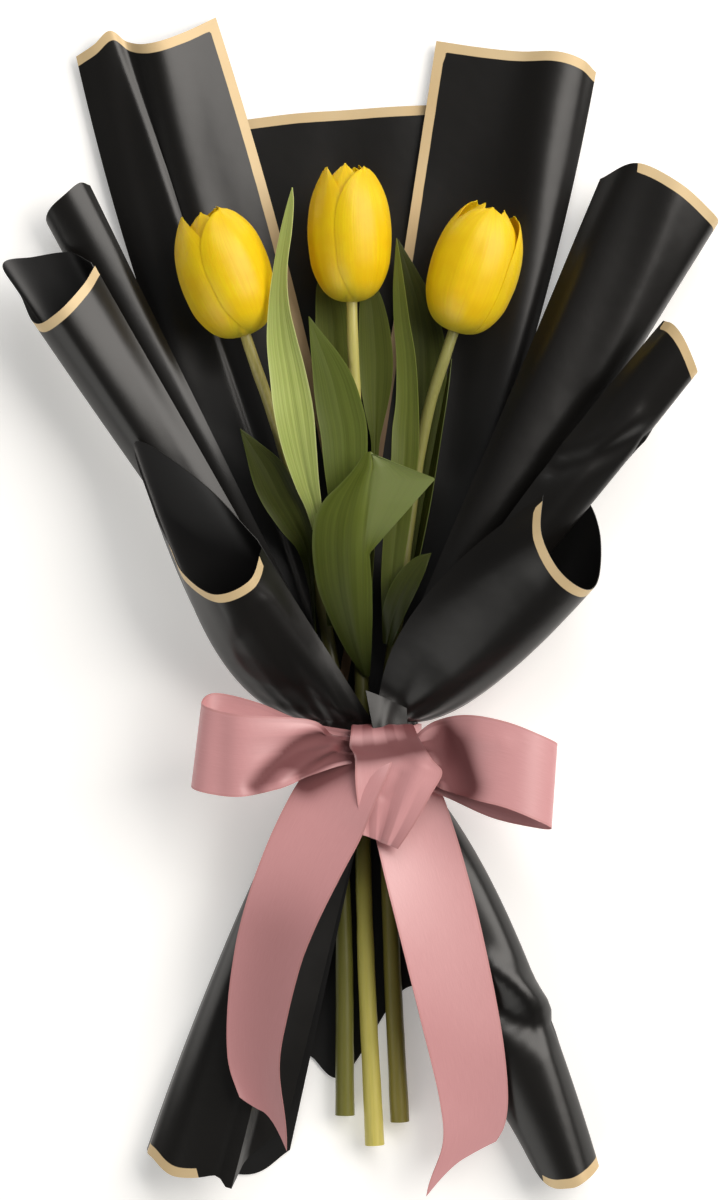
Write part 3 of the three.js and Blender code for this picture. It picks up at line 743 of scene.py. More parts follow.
@dataclass(frozen=True)
class WovenSatin:
    """Polyester satin ribbon with a woven edge.

    Its long floats run along the ribbon, so light spreads across it in broad soft bands.
    Deep in folds, gathers and hollows it is painted a deep red, as painted shade, and it is
    rougher there.
    """

    rose: str = "#d1999b"
    deep: str = "#c58c8d"
    edge: str = "#c48a8a"
    # Painted shade: the deep red of satin lying deep in folds, and how much of it is mixed in.
    folded: str = "#5c2325"
    fold_shade_share: float = 0.9
    roughness: float = 0.36
    folded_roughness: float = 0.8
    selvedge_roughness: float = 0.55
    width_mm: float = 37.0
    thread_mm: float = 0.5  # real threads lie 0.12 mm apart, too fine to show

    def make(self) -> Material:
        """Build the material. Its UV map is millimetres: across from the middle, and along."""
        material, tree = blank_material("woven_satin_ribbon")
        surface = node(tree, "UVMap", uv_map="surface")
        turns = 2 * math.pi / self.thread_mm / 20  # a wave node's bands lie 2 pi / 20 apart
        weft = node(
            tree, "TexWave", {"Vector": surface, "Scale": turns, "Distortion": 0.6, "Detail": 1.0},
            bands_direction="Y",
        )
        # Floats a third of a millimetre wide that run on for 8 mm.
        stretch = node(tree, "Mapping", {"Vector": surface, "Scale": (3.0, 0.12, 1.0)})
        warp = node(tree, "TexNoise", {"Vector": stretch, "Scale": 1.0, "Detail": 3.0})
        tone = node(
            tree, "Mix", {0: warp, 6: linear(self.deep), 7: linear(self.rose)}, data_type="RGBA",
        )
        across = node(tree, "SeparateXYZ", {"Vector": surface}).outputs["X"]
        middle = node(tree, "Math", {0: across}, operation="ABSOLUTE")
        selvedge = node(
            tree, "MapRange",
            {
                "Value": middle, "From Min": self.width_mm / 2 - 1.1,
                "From Max": self.width_mm / 2 - 0.8,
            },
        )
        colour = node(tree, "Mix", {0: selvedge, 6: tone, 7: linear(self.edge)}, data_type="RGBA")
        threads = node(tree, "Math", {0: warp, 1: weft.outputs["Fac"]}, operation="ADD")
        relief = node(tree, "Bump", {"Strength": 0.12, "Distance": 0.0002, "Height": threads})
        # Painted shade from the fold mask: darker and rougher where the satin lies deep in a fold.
        fold_shade = node(tree, "Attribute", attribute_name="fold_shade").outputs["Fac"]
        amount = node(tree, "MapRange", {"Value": fold_shade, "To Max": self.fold_shade_share})
        folded = node(tree, "Mix", {0: amount, 6: colour, 7: linear(self.folded)}, data_type="RGBA")
        limp = node(
            tree, "MapRange",
            {"Value": fold_shade, "To Min": self.roughness, "To Max": self.folded_roughness},
        )
        rough = node(
            tree, "MapRange",
            {"Value": selvedge, "To Min": limp, "To Max": self.selvedge_roughness},
        )
        tangent = node(tree, "Tangent", direction_type="UV_MAP", uv_map="surface")
        shade(
            tree,
            {
                "Base Color": folded, "Roughness": rough, "Normal": relief, "Tangent": tangent,
                "Anisotropic": 0.5, "Specular IOR Level": 0.7, "Sheen Weight": 0.12,
                "Sheen Roughness": 0.3, "Sheen Tint": linear("#ffd9d6"),
            },
        )
        return material


@dataclass(frozen=True)
class SimpleSkin:
    """A small hidden or plain surface: its two tones change over a few millimetres.

    Args:
        name: What it is and how it was made.
        light: The lighter tone.
        dark: The darker tone.
        roughness: How dull it is.
        grain_mm: How wide its grain is.
        relief_mm: How deep its grain is.
    """

    name: str
    light: str
    dark: str
    roughness: float
    grain_mm: float
    relief_mm: float

    def make(self) -> Material:
        """Build the material."""
        material, tree = blank_material(self.name)
        place = node(tree, "TexCoord").outputs["Object"]
        grain = node(
            tree, "TexNoise", {"Vector": place, "Scale": cells(self.grain_mm), "Detail": 3.0},
        )
        tone = node(tree, "MapRange", {"Value": grain, "From Min": 0.35, "From Max": 0.65})
        colour = node(
            tree, "Mix", {0: tone, 6: linear(self.dark), 7: linear(self.light)}, data_type="RGBA",
        )
        relief = node(
            tree, "Bump", {"Strength": 0.6, "Distance": self.relief_mm * MM, "Height": grain},
        )
        shade(tree, {"Base Color": colour, "Normal": relief, "Roughness": self.roughness})
        return material


@dataclass
class Finishes:
    """All materials of the bunch, each made once."""

    paper: Material
    petal: Material
    leaf_light: Material
    leaf_mid: Material
    leaf_deep: Material
    leaf_front: Material
    leaf_dark: Material
    stem_light: Material
    stem_green: Material
    stem_brown: Material
    cut_end: Material
    pollen: Material
    satin: Material
    jute: Material

    @classmethod
    def make(cls) -> "Finishes":
        """Build every material."""
        return cls(
            paper=CoatedPaper().make(),
            petal=TulipPetal().make(),
            leaf_light=LeafBlade("young_tulip_leaf", "#afbb6c", "#838f42", "#cbd38f").make(),
            leaf_mid=LeafBlade("grown_tulip_leaf", "#5c6426", "#4c5420", "#6f7836").make(),
            leaf_deep=LeafBlade("shaded_tulip_leaf", "#596426", "#48521c", "#6a7434").make(),
            leaf_front=LeafBlade("folded_tulip_leaf", "#5e6923", "#475014", "#6a7442").make(),
            # The low and back leaves' darker green is partly painted shade.
            leaf_dark=LeafBlade("low_tulip_leaf_in_shade", "#3d4314", "#2c310c", "#535c28").make(),
            stem_light=StemSkin("pale_tulip_stem", "#b9b066", "#a3a04a", "#c8bb62").make(),
            # The left stem's darker waist and foot are partly painted shade, where the left tail
            # lies over it.
            stem_green=StemSkin("green_tulip_stem", "#b6ab64", "#605f2a", "#6f6d2e").make(),
            stem_brown=StemSkin("olive_tulip_stem", "#8e8c51", "#6f6a30", "#7d7433").make(),
            cut_end=SimpleSkin("fresh_cut_stem_end", "#c9c98a", "#a9ab60", 0.2, 0.6, 0.15).make(),
            pollen=SimpleSkin("stamen_and_pollen", "#d9a520", "#5a4a14", 0.8, 0.5, 0.2).make(),
            satin=WovenSatin().make(),
            jute=SimpleSkin("twisted_jute_string", "#c2a878", "#86693c", 0.85, 0.5, 0.3).make(),
        )


# ---- Paper wrap ----


class Edge(Enum):
    """An edge of a paper sheet that may carry the printed border."""

    TOP = "top"
    LOW = "low"
    FIRST = "first"
    LAST = "last"


class Face(Enum):
    """Which face of a sheet is printed: the one its grid's normal leaves, or the other."""

    UPPER = 1.0
    LOWER = 0.0


@dataclass(frozen=True)
class Column:
    """One line of a sheet from the gathered waist to its rims.

    Args:
        angle: Where it leaves the waist, in degrees from the right side over the front.
        level: Which layer of the waist it is in, counted outwards.
        top: The end at the top rim.
        swell: A point that pulls its middle off the straight line.
        low: The end at the lower rim, if the sheet runs on below the ribbon.
        low_swell: The same pull for the lower part.
    """

    angle: float
    level: float
    top: Point
    swell: Point | None = None
    low: Point | None = None
    low_swell: Point | None = None


@dataclass(frozen=True)
class Pleat:
    """A pinched fold that sticks out under a sheet's lower rim.

    Args:
        across: Its place across the sheet, from 0 to 1.
        width: Its half-width, on the same scale.
        reach: How far it sticks out below the rim, in mm.
        height: How far it stands up, in mm.
    """

    across: float
    width: float
    reach: float
    height: float


@dataclass(frozen=True)
class PaperSheet:
    """One gathered sheet of the wrap, and where its gold border is printed.

    Args:
        node: The CAD node that it stands for.
        columns: Its lines from the waist to the rims.
        face: The printed face.
        printed: The printed edges.
        seed: What its slow waver starts from.
        creases: Its folds.
        top_span: Between which places across the top border shows; the rest is folded under.
        low_span: The same for the lower border.
        pleat: A pinched fold in its lower rim.
    """

    node: str
    columns: tuple[Column, ...]
    face: Face
    printed: tuple[Edge, ...]
    seed: int = 1
    creases: tuple[Crease, ...] = ()
    top_span: tuple[float, float] = (-1.0, 2.0)
    low_span: tuple[float, float] = (-1.0, 2.0)
    pleat: Pleat | None = None


@dataclass
class PaperWrap:
    """The gathered wrap of nine sheets, held at the waist by the ribbon."""

    half_width: float = 16.2
    half_depth: float = 8.2
    pitch: float = 1.1
    thickness: float = 0.4
    pleats: int = 24
    pleat_depth: float = 0.3
    pleat_run: float = 16.0
    waver: float = 0.22
    waver_span: tuple[float, float] = (10.0, 90.0)
    pinch_span: tuple[float, float] = (60.0, 180.0)
    # Between these heights, in mm, the painted shade on the tall back panels fades out upwards.
    painted_shade_span: tuple[float, float] = (110.0, 255.0)
    no_border: float = 200.0
    folded_under: float = 12.0
    across: int = 10
    rows_up: int = 64
    rows_down: int = 44
    rows_tie: int = 8

    def waist(self, level: np.ndarray, angle: np.ndarray, y: float) -> np.ndarray:
        """Return points of the gathered waist.

        Args:
            level: Which layer each is in, counted outwards.
            angle: Where each lies round the waist, in degrees.
            y: Their place along the bunch.

        Returns:
            One row for each point.
        """
        turn = np.radians(angle)
        x = (self.half_width + level * self.pitch) * np.cos(turn)
        z = WAIST_HEIGHT + (self.half_depth + level * self.pitch) * np.sin(turn)
        return np.stack([x, np.full_like(x, y), z], axis=-1)

    def flare(self, sheet: PaperSheet, u: np.ndarray, rows: int, low: bool) -> np.ndarray:
        """Return the rows of points from the waist to one rim.

        Args:
            sheet: The sheet.
            u: Places across it.
            rows: How many rows lie past the waist.
            low: Whether to go to the lower rim.

        Returns:
            Rows of points; the first row is on the waist.
        """
        y = TIE_BOTTOM if low else TIE_TOP
        angle = np.array([c.angle for c in sheet.columns])
        level = np.array([c.level for c in sheet.columns])
        starts = self.waist(level, angle, y)
        ends = np.array([c.low if low else c.top for c in sheet.columns], float)
        given = [c.low_swell if low else c.swell for c in sheet.columns]
        middles = np.array(
            [(s + e) / 2 if g is None else g for g, s, e in zip(given, starts, ends)], float
        )
        a = self.waist(smooth(level, u), smooth(angle, u), y)
        b, c = smooth(middles, u), smooth(ends, u)
        t = np.linspace(0, 1, rows + 1)[:, None, None]
        return (1 - t) ** 2 * a + 2 * t * (1 - t) * b + t**2 * c

    def surface(self, sheet: PaperSheet) -> tuple[np.ndarray, np.ndarray, np.ndarray, np.ndarray]:
        """Return a sheet's middle surface.

        Args:
            sheet: The sheet.

        Returns:
            The grid of points, the place across of each column, the distance of each point
            past the tie, and the waist angle of each column.
        """
        u = np.linspace(0, 1, (len(sheet.columns) - 1) * self.across + 1)
        parts = []
        if sheet.columns[0].low is not None:
            parts.append(self.flare(sheet, u, self.rows_down, True)[:0:-1])
        top = self.flare(sheet, u, self.rows_up, False)
        angle = smooth(np.array([c.angle for c in sheet.columns]), u)
        level = smooth(np.array([c.level for c in sheet.columns]), u)
        bottom = self.waist(level, angle, TIE_BOTTOM)
        t = np.linspace(0, 1, self.rows_tie + 1)[:-1, None, None]
        parts.append(bottom * (1 - t) + top[0] * t)
        parts.append(top)
        grid = np.concatenate(parts)
        past = np.maximum(grid[..., 1] - TIE_TOP, TIE_BOTTOM - grid[..., 1])
        return grid, u, np.maximum(past, 0), angle

    def relief(
        self, sheet: PaperSheet, u: np.ndarray, past: np.ndarray, angle: np.ndarray
    ) -> np.ndarray:
        """Return how the pleats of the waist and a slow waver lift a sheet.

        Args:
            sheet: The sheet.
            u: Places across it.
            past: How far each point lies past the tie.
            angle: The waist angle of each column.

        Returns:
            How far each point stands off the smooth surface, in mm.
        """
        fading = np.exp(-past / self.pleat_run)
        pleats = self.pleat_depth * fading * np.cos(np.radians(angle * self.pleats))
        phase = np.random.default_rng(sheet.seed).uniform(0, 2 * math.pi, 6)
        wave = np.sin(7 * u + 0.018 * past + phase[0]) + np.sin(13 * u - 0.03 * past + phase[1])
        wave = wave + 0.6 * np.sin(4 * u + 0.05 * past + phase[2])
        return pleats + self.waver * wave * step(*self.waver_span, past)

    def border_distance(self, sheet: PaperSheet, grid: np.ndarray, u: np.ndarray) -> np.ndarray:
        """Measure along the paper to the nearest printed edge.

        Args:
            sheet: The sheet.
            grid: Its points.
            u: The place across of each column.

        Returns:
            The distance of each point, in mm.
        """
        up = np.linalg.norm(np.diff(grid, axis=0), axis=-1)
        from_low = np.vstack([np.zeros(grid.shape[1]), np.cumsum(up, axis=0)])
        side = np.linalg.norm(np.diff(grid, axis=1), axis=-1)
        from_first = np.hstack([np.zeros((grid.shape[0], 1)), np.cumsum(side, axis=1)])
        distance = {
            Edge.LOW: from_low,
            Edge.TOP: from_low[-1] - from_low,
            Edge.FIRST: from_first,
            Edge.LAST: from_first[:, -1:] - from_first,
        }
        for edge, (start, end) in ((Edge.TOP, sheet.top_span), (Edge.LOW, sheet.low_span)):
            outside = np.maximum(start - u, u - end)[None, :]
            distance[edge] = distance[edge] + self.folded_under * step(0, 0.03, outside)
        nearest = np.full(grid.shape[:2], self.no_border)
        for edge in sheet.printed:
            nearest = np.minimum(nearest, distance[edge])
        return nearest

    def make_sheet(self, sheet: PaperSheet, finish: Material) -> None:
        """Build one sheet and put it in place of its CAD node.

        Args:
            sheet: The sheet.
            finish: The paper.
        """
        grid, u, past, angle = self.surface(sheet)
        grid = grid + grid_normals(grid) * self.relief(
            sheet, u[None, :], past, angle[None, :]
        )[..., None]
        grid, _ = pressed(grid, sheet.creases)
        if sheet.pleat is not None:
            below = step(*self.pinch_span, past) * (grid[..., 1] < 0)
            pinch = bell(u[None, :], sheet.pleat.across, sheet.pleat.width) * below
            grid[..., 1] -= sheet.pleat.reach * pinch
            grid[..., 2] += sheet.pleat.height * pinch
        border = self.border_distance(sheet, grid, u)
        uv = np.stack(
            np.broadcast_arrays(u[None, :], np.linspace(0, 1, len(grid))[:, None]), axis=-1
        )
        skin = shell(grid, self.thickness, uv, {"border_mm": border})
        plain = skin.values["side"] != sheet.face.value
        skin.values["border_mm"][plain] = self.no_border
        # Painted shade: towards the tie, below their upper part, the tall back panels turn matt,
        # with a darker black and dull brown gold.
        tall = sheet.node.startswith("paper_back")
        dull = step(*self.painted_shade_span, skin.points[:, 1]) if tall else 1.0
        skin.values["coated_unshaded"] = np.where(plain, 0.0, 1.0) * dull
        settle(make_piece(sheet.node + "_sheet", skin, finish), "paper", sheet.node)

    def tuck(self, finish: Material) -> None:
        """Build the small corner of the front sheet that is folded over at the tie."""
        u, v = np.meshgrid(np.linspace(0, 1, 19), np.linspace(0, 1, 23))
        low_left, low_right, high_left, high_right = np.array(TUCK_CORNERS)
        across, up = u[..., None], v[..., None]
        low = (1 - across) * low_left + across * low_right
        high = (1 - across) * high_left + across * high_right
        grid = low * (1 - up) + high * up
        grid[..., 2] += 0.25 * np.sin(6 * u + 2 * v) + 0.8 * bell(u - 0.3 * v, 0.3, 0.16)
        grid[..., 1] -= 1.5 * (v * u) ** 2
        uv = np.stack([u, v], axis=-1)
        values = {"border_mm": np.full(u.shape, self.no_border), "coated_unshaded": np.ones(u.shape)}
        piece = make_piece("paper_tuck", shell(grid, self.thickness, uv, values), finish)
        settle(piece, "paper")

    def build(self, finish: Material) -> None:
        """Build all sheets of the wrap."""
        for sheet in WRAP_SHEETS:
            self.make_sheet(sheet, finish)
        self.tuck(finish)


TUCK_CORNERS = ((5, 4, 38.4), (20, 4.6, 32.2), (1.6, 22, 39.5), (19.6, 15.5, 32.4))

WRAP_SHEETS = (
    PaperSheet(
        "paper_back_right",
        (
            Column(216, 0, (33, 310, 5)), Column(244, 0, (52, 307, 6)),
            Column(270, 0, (70, 305, 8)), Column(296, 0, (87, 304.5, 12), (54, 152, 8)),
            Column(320, 0, (98, 301, 11), (68, 150, 9)),
            Column(342, 0, (104, 296, 5), (76, 148, 7)),
        ),
        Face.UPPER, (Edge.TOP, Edge.FIRST), 3,
        (
            Crease(((84, 302), (74, 210), (60, 130)), 9, 1.6),
            Crease(((46, 190), (38, 120)), 8, -1.0),
        ),
    ),
    PaperSheet(
        "paper_back_left",
        (
            Column(192, 1.1, (-127, 303, 5), (-93, 150, 6)),
            Column(212, 1.1, (-119, 308, 9), (-80, 152, 7)), Column(232, 1.1, (-112, 314, 9.5)),
            Column(246, 1.1, (-104.5, 309.5, 6.4)), Column(260, 1.1, (-93, 308.5, 9)),
            Column(274, 1.1, (-80, 313, 8), (-28, 150, 5.5)),
            Column(288, 1.1, (-65, 320.5, 4), (-10, 150, 4)),
        ),
        Face.UPPER, (Edge.TOP, Edge.LAST), 5,
        (
            Crease(((-104, 305), (-98, 264), (-88, 225), (-72, 170)), 9.0, -1.4),
            Crease(((-92, 305), (-87, 270), (-81, 243), (-70, 205)), 12.0, 4.0),
        ),
    ),
    PaperSheet(
        "paper_back_middle",
        (
            Column(244, 2.4, (-54, 275, 1), None, (-26, -138, 1.2)),
            Column(257, 2.4, (-30, 278, 0.8), None, (-22, -142, 1)),
            Column(270, 2.4, (-8, 279.5, 0.8), None, (-8, -150, 0.8)),
            Column(283, 2.4, (13, 281, 0.8), None, (16, -114, 1)),
            Column(296, 2.4, (35, 282, 1), None, (30, -110, 1.2)),
        ),
        Face.UPPER, (Edge.TOP,), 7,
    ),
    PaperSheet(
        "paper_roll_left_far",
        (
            Column(100, 3, (-120, 243, 12)), Column(125, 3, (-124, 236, 8)),
            Column(155, 3, (-131, 230, 8)), Column(186, 3, (-137, 226, 11)),
            Column(189, 3.5, (-139.5, 230, 15)), Column(186, 4, (-137.5, 235, 19)),
            Column(155, 4, (-131, 241, 20.5)), Column(125, 4, (-125, 246, 18)),
            Column(100, 4, (-120.5, 245, 14.5)),
        ),
        Face.UPPER, (), 9,
    ),
    PaperSheet(
        "paper_roll_left_middle",
        (
            Column(99, 5, (-119, 210, 33)), Column(122, 5, (-129, 215, 24)),
            Column(150, 5, (-145, 213, 23)), Column(184, 5, (-158, 210, 26)),
            Column(187, 5.5, (-150, 196, 35)), Column(184, 6, (-143, 183, 43)),
            Column(150, 6, (-133, 187, 52)), Column(122, 6, (-122, 199, 48.5)),
            Column(99, 6, (-116.8, 208, 42)),
        ),
        Face.UPPER, (Edge.TOP,), 11, top_span=(0.55, 2.0),
    ),
    PaperSheet(
        "paper_roll_left_front",
        (
            Column(79, 7, (-46, 88, 48), (-16, 40, 35), (-32, -183, 2)),
            Column(120, 7, (-70, 113, 46), None, (-50, -194, 1)),
            Column(150, 7, (-99, 131, 46), (-60, 22, 29), (-80, -188, 1), (-54, -88, 5)),
            Column(184, 7, (-91, 101, 47), (-61, 16, 26), (-94, -182, 4), (-57, -76, 8)),
            Column(187, 7.5, (-84, 85, 52), (-60, 13, 28), (-95, -183, 9), (-58, -76, 12)),
            Column(184, 8, (-78, 73, 60), (-57, 13, 34), (-93, -185, 14), (-57, -77, 17)),
            Column(150, 8, (-64, 64, 69), (-40, 18, 43), (-82, -193, 22), (-54, -86, 26)),
            Column(120, 8, (-49, 70, 68), None, (-60, -190, 24)),
            Column(79, 8, (-44, 84, 54), (-13, 36, 38), (-34, -172, 16)),
        ),
        Face.UPPER, (Edge.TOP, Edge.LOW), 13,
        (
            Crease(((-40, 62), (-24, 34), (-10, 12)), 5, 1.2, 30),
            Crease(((-52, 44), (-38, 22), (-24, 8)), 6, -1.2, 30),
        ),
        (0.5, 0.96), (0.5, 0.8), Pleat(0.885, 0.02, 9, 5),
    ),
    PaperSheet(
        "paper_roll_right_far",
        (
            Column(80, 3, (106, 245, 16)), Column(58, 3, (122, 238, 9)),
            Column(30, 3, (142, 230, 9)), Column(-4, 3, (154, 227, 13)),
            Column(-7, 3.5, (157, 229, 19)), Column(-4, 4, (154, 233, 25)),
            Column(30, 4, (140, 245, 29)), Column(58, 4, (121, 254, 29)),
            Column(80, 4, (105.5, 247.5, 19)),
        ),
        Face.LOWER, (Edge.TOP,), 15, (Crease(((138, 244), (126, 208), (106, 158)), 8, 1.8, 15),),
        (0.4, 0.86),
    ),
    PaperSheet(
        "paper_roll_right_middle",
        (
            Column(81, 5, (131, 181, 33), (60, 98, 30)), Column(60, 5, (134, 176, 29)),
            Column(35, 5, (138, 168, 29)), Column(4, 5, (144, 161, 33)),
            Column(1, 5.5, (146.5, 161, 39)), Column(4, 6, (146, 164, 45)),
            Column(35, 6, (141, 175, 50)), Column(60, 6, (136, 182, 48)),
            Column(81, 6, (132, 184, 41), (60, 100, 36)),
        ),
        Face.LOWER, (Edge.TOP,), 17,
        (
            Crease(((122, 134), (104, 125), (84, 119)), 4, -1.3, 30),
            Crease(((120, 141), (106, 133), (90, 128)), 5, 1.2, 30),
        ),
        (0.5, 0.97),
    ),
    PaperSheet(
        "paper_wrap_right_front",
        (
            Column(-62, 3.3, (66, 112, 4), None, (66, -168, 1.2)),
            Column(-45, 3.6, (82, 114, 5), (46, 34, 2.5), (74, -182, 1)),
            Column(-25, 5.2, (98, 108, 12), (54, 20, 5), (84, -190, 1.2), (56, -70, 3)),
            Column(-10, 7, (105, 92, 24), (56, 12, 10), (98, -192, 4), (63, -62, 7)),
            Column(10, 7.6, (104, 72, 38), (54, 10, 18), (105, -189, 11), (67, -60, 15)),
            Column(30, 8, (98, 66, 50), (48, 12, 28), (100, -194, 20.6), (63, -66, 25)),
            Column(48, 8, (86, 74, 61), (36, 22, 38), (92, -198, 22), (50, -78, 27)),
            Column(65, 8, (78, 90, 64), (32, 55, 46), (80, -195, 18), (34, -80, 27)),
            Column(72, 8, (79, 107, 56), (3, 57, 41), (65, -170, 9), (-1, -76, 23)),
        ),
        Face.LOWER, (Edge.TOP, Edge.LOW), 19,
        (
            Crease(((56, -100), (68, -108), (81, -119)), 4.5, 2.6, 8),
            Crease(((50, -112), (64, -122), (77, -128)), 5.5, -3.2, 8),
            Crease(((4, 20), (12, 14), (18, 7)), 4, 2.6, 26),
            Crease(((74, 66), (56, 48), (38, 32)), 10, -1.2, 26),
        ),
        (0.47, 0.97), (0.4, 0.86),
    ),
)


# ---- Tulips ----


@dataclass(frozen=True)
class Tulip:
    """Where one bloom stands and how its stem runs to it.

    Args:
        name: left, middle or right.
        foot: Where the bloom meets its stem.
        turn: How far the bloom leans to the left, in degrees.
        rise: How far its tip is above its foot, in mm.
        spin: How far the bloom is turned about its own axis, in degrees.
        twist: How far its tepals wind about it from tip to foot, in degrees.
        radius: Half of its greatest width, in mm.
        lengths: The lengths of the outer tepals, then of the inner ones.
        cut_end: The stem's lower end.
        route: The stem's points from there up to the neck, without the tie's sag.
    """

    name: str
    foot: Point
    turn: float
    rise: float
    spin: float
    twist: float
    radius: float
    lengths: tuple[float, ...]
    cut_end: Point
    route: tuple[Point, ...]

    def direction(self) -> np.ndarray:
        """Return the direction in which the bloom points."""
        turn = math.radians(self.turn)
        ahead = np.array([-math.sin(turn), math.cos(turn), self.rise / 60])
        return ahead / np.linalg.norm(ahead)

    def standing(self) -> Matrix:
        """Return the matrix that stands a bloom, made upright at the origin in mm, on its stem."""
        turn = Vector((0, 0, 1)).rotation_difference(Vector(self.direction())).to_matrix().to_4x4()
        return Matrix.Translation(Vector(self.foot)) @ turn


def sunk(x: float, y: float, z: float) -> Point:
    """Lower a point of the straight bunch by the sag of the tie."""
    away = max(y - TIE_TOP, TIE_BOTTOM - y, 0.0)
    return (x, y, z - SAG * min(max(1 - away / SAG_LENGTH, 0), 1))


TULIPS = (
    Tulip(
        "left", (-51.3, 178.3, 31), turn=18, rise=3, spin=4, twist=24, radius=20.8,
        lengths=(57, 57.6, 56.5, 57.5, 56, 57), cut_end=(-7.6, -167, 7),
        route=(
            (-8, -90, 14.5), (-10.6, -15, 18.4), (-10.6, 10, 18.4), (-16, 50, 19), (-28, 105, 20.5),
            (-41, 148, 27),
        ),
    ),
    Tulip(
        "middle", (-4.5, 193, 32), turn=1.5, rise=4, spin=-10, twist=10, radius=19,
        lengths=(58.6, 59, 59, 59.5, 59, 60.5), cut_end=(5.7, -180, 9),
        route=(
            (1.5, -90, 17.9), (0, -15, 22.2), (0, 10, 22.2), (-0.5, 60, 22.6), (-1.5, 120, 24.2),
            (-3.5, 160, 28.5),
        ),
    ),
    Tulip(
        "right", (40.4, 180.1, 31), turn=-18.5, rise=3, spin=37, twist=0, radius=20.2,
        lengths=(57.5, 56.5, 56, 56, 57.5, 57), cut_end=(16.8, -170, 6.5),
        route=(
            (13, -90, 14.5), (10.6, -15, 18.4), (10.6, 10, 18.4), (15, 50, 19), (22, 105, 21),
            (29.5, 146, 27),
        ),
    ),
)


@dataclass(frozen=True)
class TepalRing:
    """One of the two rings of three tepals.

    Args:
        inset: How far inside the bloom's greatest width it lies, in mm.
        half_turn: How far each tepal reaches round the bloom to each side, in degrees.
        closed: How far its tips bend in to the axis, as a share of the way.
        start: Where its first tepal lies round the bloom, in degrees.
    """

    inset: float
    half_turn: float
    closed: float
    start: float


